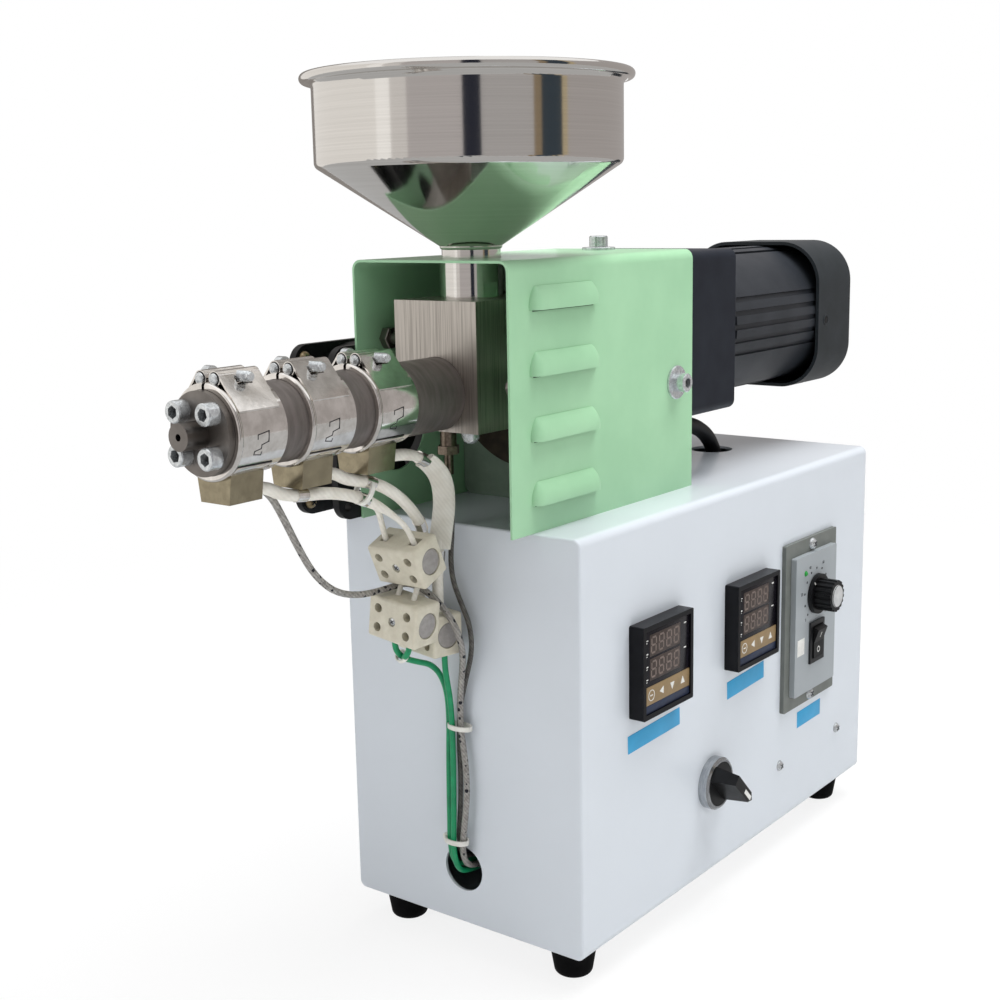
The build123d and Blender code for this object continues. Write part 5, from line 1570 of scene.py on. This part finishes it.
@dataclass
class BandHeaters:
    """The rolled bands, their clamp screws, interlocking joints and terminal boxes.

    Attributes:
        clamp_at: The seat of a clamp screw's head, from the knuckles' middle, across and up.
        head: The diameter, height and key of its head.
        shank: The start of its shank's outline.
        thread: The radius of a thread's crest and root.
        thread_at: The distance of the first crest from the seat.
        thread_count: The number of threads.
        shank_end: The end of the shank's outline.
        strokes: The cuts of the hooked joint: along the band in millimetres, and round it in degrees.
        joint_turn: The joint's place round the band, in degrees.
        cut: The width, thickness and depth of a cut's dark line.
        flap: The size of the flap of sheet over the terminal box.
        flap_y: Its middle, from the band's start.
        flap_turn: Its place round the band, in degrees.
        flap_sink: How deep it lies in the band.
        flap_edge: The radius of its edges.
        flap_shade: The size of the black box of painted shade in the gap round it.
        pin_x: How far the knuckles' pins lie from the middle.
        pin_y: Their two ends, from the band's start.
        pin: The outline of a pin's end.
        pin_shade: The outline of the black ring of painted shade in the gap round it.
    """

    clamp_at: Pair = (-9.0, 0.4)
    head: Point = (7.0, 4.0, 3.6)
    shank: Profile = ((0.0, 0.0), (2.1, 0.0))
    thread: Pair = (2.35, 2.05)
    thread_at: Pair = (13.2, 13.7)
    thread_count: int = 9
    shank_end: Profile = ((2.0, 22.4), (1.6, 22.9), (0.0, 22.9))
    strokes: tuple[Profile, ...] = (
        ((-3.0, 14.0), (3.0, 17.0)), ((3.0, 17.0), (3.0, 4.0)), ((3.0, 4.0), (-0.6, 1.0)),
        ((-0.6, 1.0), (-0.6, -4.0)), ((-0.6, -4.0), (-4.0, -6.5)), ((-3.0, 14.0), (-3.0, 9.0)),
        ((-4.0, -6.5), (-4.0, -11.0)), ((-4.0, -11.0), (0.0, -13.0)), ((0.0, -13.0), (0.0, -9.0)),
    )
    joint_turn: float = -16.0
    cut: Point = (0.45, 0.1, 0.06)
    flap: Point = (19.0, 5.2, 0.7)
    flap_y: float = 12.5
    flap_turn: float = -52.0
    flap_sink: float = 0.15
    flap_edge: float = 0.2
    flap_shade: Point = (19.6, 5.8, 0.3)
    pin_x: float = 4.1
    pin_y: Pair = (2.0, 25.0)
    pin: Profile = ((0.0, 0.7), (1.9, 0.62), (2.3, 0.35), (2.43, -0.1))
    pin_shade: Profile = ((2.3, -0.44), (2.85, -0.44), (2.85, -0.6))

    def build(self) -> None:
        """Dress the bands and add the small parts of each."""
        for number, start in enumerate(BAND_Y, 1):
            dress(BAND_STAINLESS, "heater_band_%d" % number)
            dress(TINNED_SHEET, "terminal_box_%d" % number)
            mould = Mould()
            self.clamp(mould, start + BAND_L / 2)
            self.joint(mould, start + BAND_L / 2)
            self.flaps(mould, start)
            self.pins(mould, start)
            mould.piece("band_fittings_%d" % number, "stainless")

    def clamp(self, mould: Mould, middle: float) -> None:
        """The zinc clamp screw across both knuckles."""
        at = (AXIS_X + self.clamp_at[0], middle, KNUCKLE_Z + self.clamp_at[1])
        threads = [
            (radius, level + turn)
            for turn in range(self.thread_count)
            for radius, level in zip(self.thread, self.thread_at)
        ]
        shank = [*self.shank, *threads, *self.shank_end]
        mould.lathe(shank, placed(at, Facing.RIGHT), BRIGHT_ZINC, 22)
        mould.socket_screw(*self.head, placed(at, Facing.LEFT), BRIGHT_ZINC)

    def joint(self, mould: Mould, middle: float) -> None:
        """The hooked joint of the sheet, as dark cut lines round the band's right side."""
        wide, thick, deep = self.cut
        for (y0, a0), (y1, a1) in self.strokes:
            first = self.on_band(middle + y0, a0 + self.joint_turn)
            last = self.on_band(middle + y1, a1 + self.joint_turn)
            centre = (first + last) / 2
            reach = Vector((centre.x - AXIS_X, 0, centre.z - AXIS_Z))
            out, run = reach.normalized(), (last - first).normalized()
            lift = out * (BAND_R - reach.length - deep)
            size = ((last - first).length + wide, wide, thick)
            mould.box(size, laid(centre + lift, run, out), INK_AND_SHADE_BLACK)

    @staticmethod
    def on_band(y: float, angle: float) -> Vector:
        """A place on a band's outside, at an angle above the level."""
        turn = math.radians(angle)
        return Vector((AXIS_X + BAND_R * math.cos(turn), y, AXIS_Z + BAND_R * math.sin(turn)))

    def flaps(self, mould: Mould, start: float) -> None:
        """The flap of sheet above the terminal box, on both sides, over a black box of painted shade in the
        gap round it.
        """
        turn = math.radians(self.flap_turn)
        for side in (-1, 1):
            out = Vector((side * math.cos(turn), 0, math.sin(turn)))
            at = Vector((AXIS_X, start + self.flap_y, AXIS_Z)) + out * (BAND_R - self.flap_sink)
            place = laid(at, Vector((0, 1, 0)), out)
            # Black box under the flap: painted shade in the gap.
            mould.box(self.flap_shade, place, INK_AND_SHADE_BLACK)
            mould.box(self.flap, place, BAND_STAINLESS, self.flap_edge)

    def pins(self, mould: Mould, start: float) -> None:
        """The bright ends of the pins in both knuckles, each in a black ring of painted shade."""
        for side in (-1, 1):
            for y, facing in zip(self.pin_y, (Facing.FRONT, Facing.BACK)):
                end = placed((AXIS_X + side * self.pin_x, start + y, KNUCKLE_Z), facing)
                # Black ring round the pin: painted shade in the gap.
                mould.lathe(self.pin_shade, end, INK_AND_SHADE_BLACK, 28)
                mould.lathe(self.pin, end, BRIGHT_ZINC, 28)


@dataclass
class Gearmotor:
    """The gearbox, the motor and its fan cover.

    Attributes:
        cover_half: Half the cover's width at its screws.
        screw_y: The screws' place along the motor.
        screw_z: Their height.
        rim: The outline of the rim round a screw.
        screw: The diameter and height of a screw's head.
    """

    cover_half: float = 45.5
    screw_y: float = 223.0
    screw_z: float = 308.5
    rim: Profile = ((2.3, 0.0), (2.5, 0.35), (3.4, 0.35), (3.7, 0.0))
    screw: Pair = (4.4, 0.3)

    def build(self) -> None:
        """Dress the castings and add the cover's screws."""
        dress(GEARBOX_PAINT, "gearbox")
        dress(MOTOR_PAINT, "motor")
        dress(COVER_PLASTIC, "motor_fan_cover")
        mould = Mould()
        for side in (Facing.RIGHT, Facing.LEFT):
            place = placed((AXIS_X + side.value[0] * self.cover_half, self.screw_y, self.screw_z), side)
            mould.lathe(self.rim, place, COVER_PLASTIC, 24)
            mould.cross_screw(*self.screw, place, BLACK_PLASTIC)
        mould.piece("cover_screws", "black_plastic")


@dataclass
class CoolingFan:
    """The fan on the hood's left wall.

    Attributes:
        screw_y: The places of its corner screws along the wall.
        screw_z: Their heights.
        outside: How far the outer screws sit from the wall, and their heads' diameter and height.
        inside: The same of the inner ones.
    """

    screw_y: Pair = (-118.0, -45.0)
    screw_z: Pair = (237.1, 310.1)
    outside: Point = (30.0, 6.6, 1.6)
    inside: Point = (26.0, 7.0, 2.8)

    def build(self) -> None:
        """Dress the fan and add its corner screws."""
        dress(BLACK_PLASTIC, "fan_frame", "fan_rotor")
        mould = Mould()
        for y in self.screw_y:
            for z in self.screw_z:
                for (off, head, height), facing, finish in (
                    (self.outside, Facing.LEFT, BRIGHT_ZINC), (self.inside, Facing.RIGHT, PLATED_BRASS),
                ):
                    mould.cross_screw(head, height, placed((HOOD_LEFT_X - off, y, z), facing), finish)
        mould.piece("fan_screws", "plated_brass")


@dataclass
class Controllers:
    """The two square controllers on the panel.

    Attributes:
        controllers: Each controller's name and its middle along the panel.
        controller_z: Their height.
        strips: The size, rise, finish and edge of the window and the two strips on a controller's face.
        digits: The rises of the two rows of digits.
        digit_window: The size of the window behind a row.
        window_at: Its place across the face and above it.
        window_edge: The radius of its edges.
        digit_at: The first digit's place across the face and above it.
        digit_step: The step between digits.
        digit_count: The digits in a row.
        bars: The place and length of each of a digit's bars, and whether it stands.
        bar: A bar's width and thickness.
        lean: How far a digit leans, as a share of its rise.
        prints: The size, place across and rises of the small marks beside the digits.
        print_lift: How far those lie above the face.
        key_at: The rise of the keys and how far they lie above the face.
        round_key: The place across and the outline of the round key's ring.
        round_bar: The size of its bar.
        arrows: The place across and the turn of each arrow key, in degrees.
        arrow: An arrow's outline.
        arrow_thick: Its thickness.
    """

    controllers: tuple[tuple[str, float], ...] = (("heat", -26.5), ("cooling", 69.5))
    controller_z: float = 155.0
    strips: tuple[tuple[Point, float, Finish, float], ...] = (
        ((42.6, 28.6, 0.3), 6.9, SMOKED_WINDOW, 0.08),
        ((42.6, 9.4, 0.4), -12.3, KEY_STRIP, 0.1),
        ((42.6, 4.2, 0.35), -19.2, FOOT_STRIP, 0.1),
    )
    digits: Pair = (13.3, 0.9)
    digit_window: Point = (29.0, 11.2, 0.12)
    window_at: Pair = (-2.4, 0.28)
    window_edge: float = 0.05
    digit_at: Pair = (-13.2, 0.38)
    digit_step: float = 7.2
    digit_count: int = 4
    bars: tuple[tuple[float, float, float, bool], ...] = (
        (0, 3.9, 3.4, False), (0, 0, 3.4, False), (0, -3.9, 3.4, False), (-2.1, 1.95, 3.1, True),
        (2.1, 1.95, 3.1, True), (-2.1, -1.95, 3.1, True), (2.1, -1.95, 3.1, True),
    )
    bar: Pair = (0.95, 0.05)
    lean: float = 0.1
    prints: tuple[tuple[Point, float, tuple[float, ...]], ...] = (
        ((1.8, 0.55, 0.06), -19.4, (16.5, 9.6, 3.0, -3.6)),
        ((1.0, 0.45, 0.06), -19.7, (15.3, 8.4, 1.8, -4.8)),
        ((2.2, 0.7, 0.06), 16.8, (17.6, 4.6)),
    )
    print_lift: float = 0.3
    key_at: Pair = (-12.3, 0.38)
    round_key: tuple[float, Profile] = (-15.4, ((2.5, 0.0), (2.5, 0.1), (2.9, 0.1), (2.9, 0.0)))
    round_bar: Point = (2.4, 0.6, 0.08)
    arrows: tuple[Pair, ...] = ((-5.6, 90), (4.4, 180), (14.6, 0))
    arrow: Profile = ((0.0, 2.2), (-2.0, -1.6), (2.0, -1.6))
    arrow_thick: float = 0.08

    def build(self) -> None:
        """Dress the housings and add their faces."""
        for name, y in self.controllers:
            dress(CONTROLLER_PLASTIC, name + "_controller")
            self.face(name, y)

    def face(self, name: str, y: float) -> None:
        """One controller's window, digits, keys and foot strip.

        Args:
            name: The controller's name.
            y: Its middle along the panel.
        """
        mould = Mould()
        face = placed((PANEL_FACE_X, y, self.controller_z), Facing.RIGHT)
        for size, rise, finish, edge in self.strips:
            mould.box(size, moved(face, 0, rise), finish, edge)
        for rise in self.digits:
            across, lift = self.window_at
            window = moved(face, across, rise, lift)
            mould.box(self.digit_window, window, DIGIT_WINDOW, self.window_edge)
            across, lift = self.digit_at
            for place in range(self.digit_count):
                self.digit(mould, moved(face, across + self.digit_step * place, rise, lift))
        for size, across, rises in self.prints:
            for rise in rises:
                mould.box(size, moved(face, across, rise, self.print_lift), PRINTED_WHITE)
        self.keys(mould, face)
        mould.piece(name + "_face", "gloss_black")

    def digit(self, mould: Mould, place: Matrix) -> None:
        """One digit of seven unlit bars, leaning a little."""
        wide, thick = self.bar
        for across, rise, long, upright in self.bars:
            size = (wide, long, thick) if upright else (long, wide, thick)
            mould.box(size, moved(place, across + rise * self.lean, rise), UNLIT_DIGIT)

    def keys(self, mould: Mould, face: Matrix) -> None:
        """A round key and three arrow keys.

        Args:
            mould: The face's shapes.
            face: The middle of the face.
        """
        rise, lift = self.key_at
        across, rim = self.round_key
        mould.lathe(rim, moved(face, across, rise, lift), PRINTED_WHITE, 28)
        mould.box(self.round_bar, moved(face, across, rise, lift), PRINTED_WHITE)
        for across, turn in self.arrows:
            place = turned(moved(face, across, rise, lift), turn)
            mould.prism(self.arrow, self.arrow_thick, place, PRINTED_WHITE)


@dataclass
class SpeedControl:
    """The speed plate with its dial, knob and rocker switch.

    Attributes:
        dial_start: The dial's first angle, in degrees.
        dial_step: The angle between two dots.
        dial_count: The number of dots.
        dial_r: The radius of the ring of dots and of the ring of numbers.
        dot: The outline of a dot.
        number: A number's height, thickness, its rise above the face and its value for each dot.
        lamp_at: The lamp's place from the knob, across and up.
        lamp: Its outline.
        tag: The size of the white tag.
        tag_y: Its place from the knob, along the panel.
        tag_edge: The radius of its edges.
        screw_z: The heights of the plate's screws.
        screw: The diameter and height of a screw's head.
        cap_x: The cap's place from the plate's raised face.
        cap: The outline of the knob's cap.
        pointer: The size of the knob's pointer.
        pointer_at: Its distance from the knob's axis and from the plate's raised face.
        pointer_turn: Its angle, in degrees.
        rocker_tilt: The lean of the rocker at rest, in degrees.
        rocker_slope: The slope of its flats.
        rocker_at: How far the marks lie from its middle, and the middle's height.
        rocker_ring: The outline of the ring.
        rocker_bar: The size of the bar, and how deep it lies.
    """

    dial_start: float = 225.0
    dial_step: float = -27.0
    dial_count: int = 11
    dial_r: Pair = (15.4, 19.2)
    dot: Profile = ((0.0, 0.08), (0.75, 0.08), (0.75, 0.0))
    number: tuple[float, float, float, int] = (2.6, 0.03, 0.05, 10)
    lamp_at: Pair = (-14.6, 14.8)
    lamp: Profile = ((0.0, 1.3), (0.9, 1.1), (1.5, 0.5), (1.7, 0.0))
    tag: Point = (9.0, 10.0, 0.1)
    tag_y: float = -19.0
    tag_edge: float = 0.03
    screw_z: Pair = (183.2, 90.8)
    screw: Pair = (7.2, 2.6)
    cap_x: float = 13.3
    cap: Profile = ((0.0, 0.71), (6.3, 0.71), (6.6, 0.4), (6.6, 0.0))
    pointer: Point = (2.2, 0.8, 0.08)
    pointer_at: Pair = (10.7, 2.8)
    pointer_turn: float = 135.0
    rocker_tilt: float = -9.0
    rocker_slope: float = 9.76
    rocker_at: Pair = (4.6, 2.2)
    rocker_ring: Profile = ((1.3, -0.1), (1.3, 0.06), (1.8, 0.06), (1.8, -0.1))
    rocker_bar: tuple[Point, float] = ((0.6, 3.4, 0.16), -0.1)

    def build(self) -> None:
        """Dress the plate and its controls, and add what is printed and screwed on."""
        dress(SPEED_PLASTIC, "speed_plate")
        dress(BLACK_PLASTIC, "rocker_switch", "speed_knob")
        self.dial()
        self.numbers()
        self.knob_cap()
        self.rocker_marks()

    def on_dial(self, step: int, radius: float, lift: float = 0.0) -> Matrix:
        """A place on the speed plate, round the knob.

        Args:
            step: The number of the dial's dot.
            radius: The distance from the knob's axis.
            lift: The height above the plate's raised face.

        Returns:
            The place, upright.
        """
        angle = math.radians(self.dial_start + self.dial_step * step)
        knob = placed((SPEED_FACE_X, SPEED_Y, KNOB_Z), Facing.RIGHT)
        return moved(knob, radius * math.cos(angle), radius * math.sin(angle), lift)

    def dial(self) -> None:
        """The speed control's scale, lamp, tag and screws."""
        mould = Mould()
        for step in range(self.dial_count):
            mould.lathe(self.dot, self.on_dial(step, self.dial_r[0]), INK_AND_SHADE_BLACK, 14)
        knob = placed((SPEED_FACE_X, SPEED_Y, KNOB_Z), Facing.RIGHT)
        mould.lathe(self.lamp, moved(knob, *self.lamp_at), GREEN_LAMP, 20)
        tag = placed((SPEED_FACE_X, SPEED_Y + self.tag_y, ROCKER_Z), Facing.RIGHT)
        mould.box(self.tag, tag, PRINTED_WHITE, self.tag_edge)
        mould.piece("speed_scale", "grey_plastic")
        screws = Mould()
        for z in self.screw_z:
            screws.cross_screw(*self.screw, placed((SPEED_BASE_X, SPEED_Y, z), Facing.RIGHT), BRIGHT_ZINC)
        screws.piece("speed_screws", "stainless")

    def numbers(self) -> None:
        """The plain numbers round the knob, at every second dot."""
        size, thick, lift, value = self.number
        text = bpy.data.curves.new("numbers", "FONT")
        text.size, text.align_x, text.align_y = size, "CENTER", "CENTER"
        text.extrude, text.resolution_u = thick, 4
        mould = Mould()
        for step in range(0, self.dial_count, 2):
            text.body = str(step * value)
            letter = bpy.data.objects.new("number", text)
            flat = bpy.data.meshes.new_from_object(letter)
            shape = bmesh.new()
            shape.from_mesh(flat)
            bpy.data.meshes.remove(flat)
            bpy.data.objects.remove(letter)
            mould.take(shape, self.on_dial(step, self.dial_r[1], lift), INK_AND_SHADE_BLACK)
        bpy.data.curves.remove(text)
        mould.piece("speed_numbers", "grey_plastic")

    def knob_cap(self) -> None:
        """The knob's bright cap and its white pointer."""
        mould = Mould()
        cap = placed((SPEED_FACE_X + self.cap_x, SPEED_Y, KNOB_Z), Facing.RIGHT)
        mould.lathe(self.cap, cap, SILVER_CAP, 40)
        reach, lift = self.pointer_at
        aim = placed((SPEED_FACE_X + lift, SPEED_Y, KNOB_Z), Facing.RIGHT, self.pointer_turn)
        mould.box(self.pointer, moved(aim, reach, 0), PRINTED_WHITE)
        mould.piece("knob_cap", "satin_aluminium", Body.KNOB)

    def rocker_marks(self) -> None:
        """A ring and a bar on the rocker's two flats."""
        mould = Mould()
        tilt = math.radians(self.rocker_tilt)
        out = Vector((math.cos(tilt), 0, math.sin(tilt)))
        middle = laid(Vector((SPEED_FACE_X, SPEED_Y, ROCKER_Z)), Vector((0, 1, 0)), out)
        reach, height = self.rocker_at
        lift = height + reach * math.tan(math.radians(self.rocker_slope))
        low = turned(moved(middle, 0, -reach, lift), -self.rocker_slope, "X")
        high = turned(moved(middle, 0, reach, lift), self.rocker_slope, "X")
        mould.lathe(self.rocker_ring, low, PRINTED_WHITE, 28)
        size, sink = self.rocker_bar
        mould.box(size, moved(high, 0, 0, sink), PRINTED_WHITE)
        mould.piece("rocker_marks", "black_plastic", Body.ROCKER)


@dataclass
class Selector:
    """The selector's bezel and lever.

    Attributes:
        lever_x: How far the lever's outer face lies from the panel.
        lever_turn: Its turn, in degrees.
        lever_mark: The size of its white mark.
        mark_at: The mark's place along the lever and how deep it lies.
    """

    lever_x: float = 20.0
    lever_turn: float = -45.0
    lever_mark: Point = (9.0, 2.4, 0.06)
    mark_at: Pair = (6.4, -0.05)

    def build(self) -> None:
        """Dress both and add the white mark near the lever's nose."""
        dress(BLACK_PLASTIC, "selector_lever")
        dress(SATIN_ALUMINIUM, "selector_bezel")
        mould = Mould()
        lever = placed((RIGHT_X + self.lever_x, SELECTOR_Y, SELECTOR_Z), Facing.RIGHT, self.lever_turn)
        along_lever, sink = self.mark_at
        mould.box(self.lever_mark, moved(lever, along_lever, 0, sink), PRINTED_WHITE)
        mould.piece("selector_mark", "black_plastic", Body.SELECTOR)


def main() -> None:
    """Build the studio, the leads and every sub-assembly in order."""
    logging.basicConfig(level=logging.INFO, format="%(name)s %(message)s")
    for part in (
        Studio(), Harness(), Cabinet(), Hood(), BarrelLine(), BandHeaters(), Gearmotor(), CoolingFan(),
        Controllers(), SpeedControl(), Selector(),
    ):
        LOG.info("building %s", type(part).__name__)
        part.build()


if __name__ == "__main__":
    main()
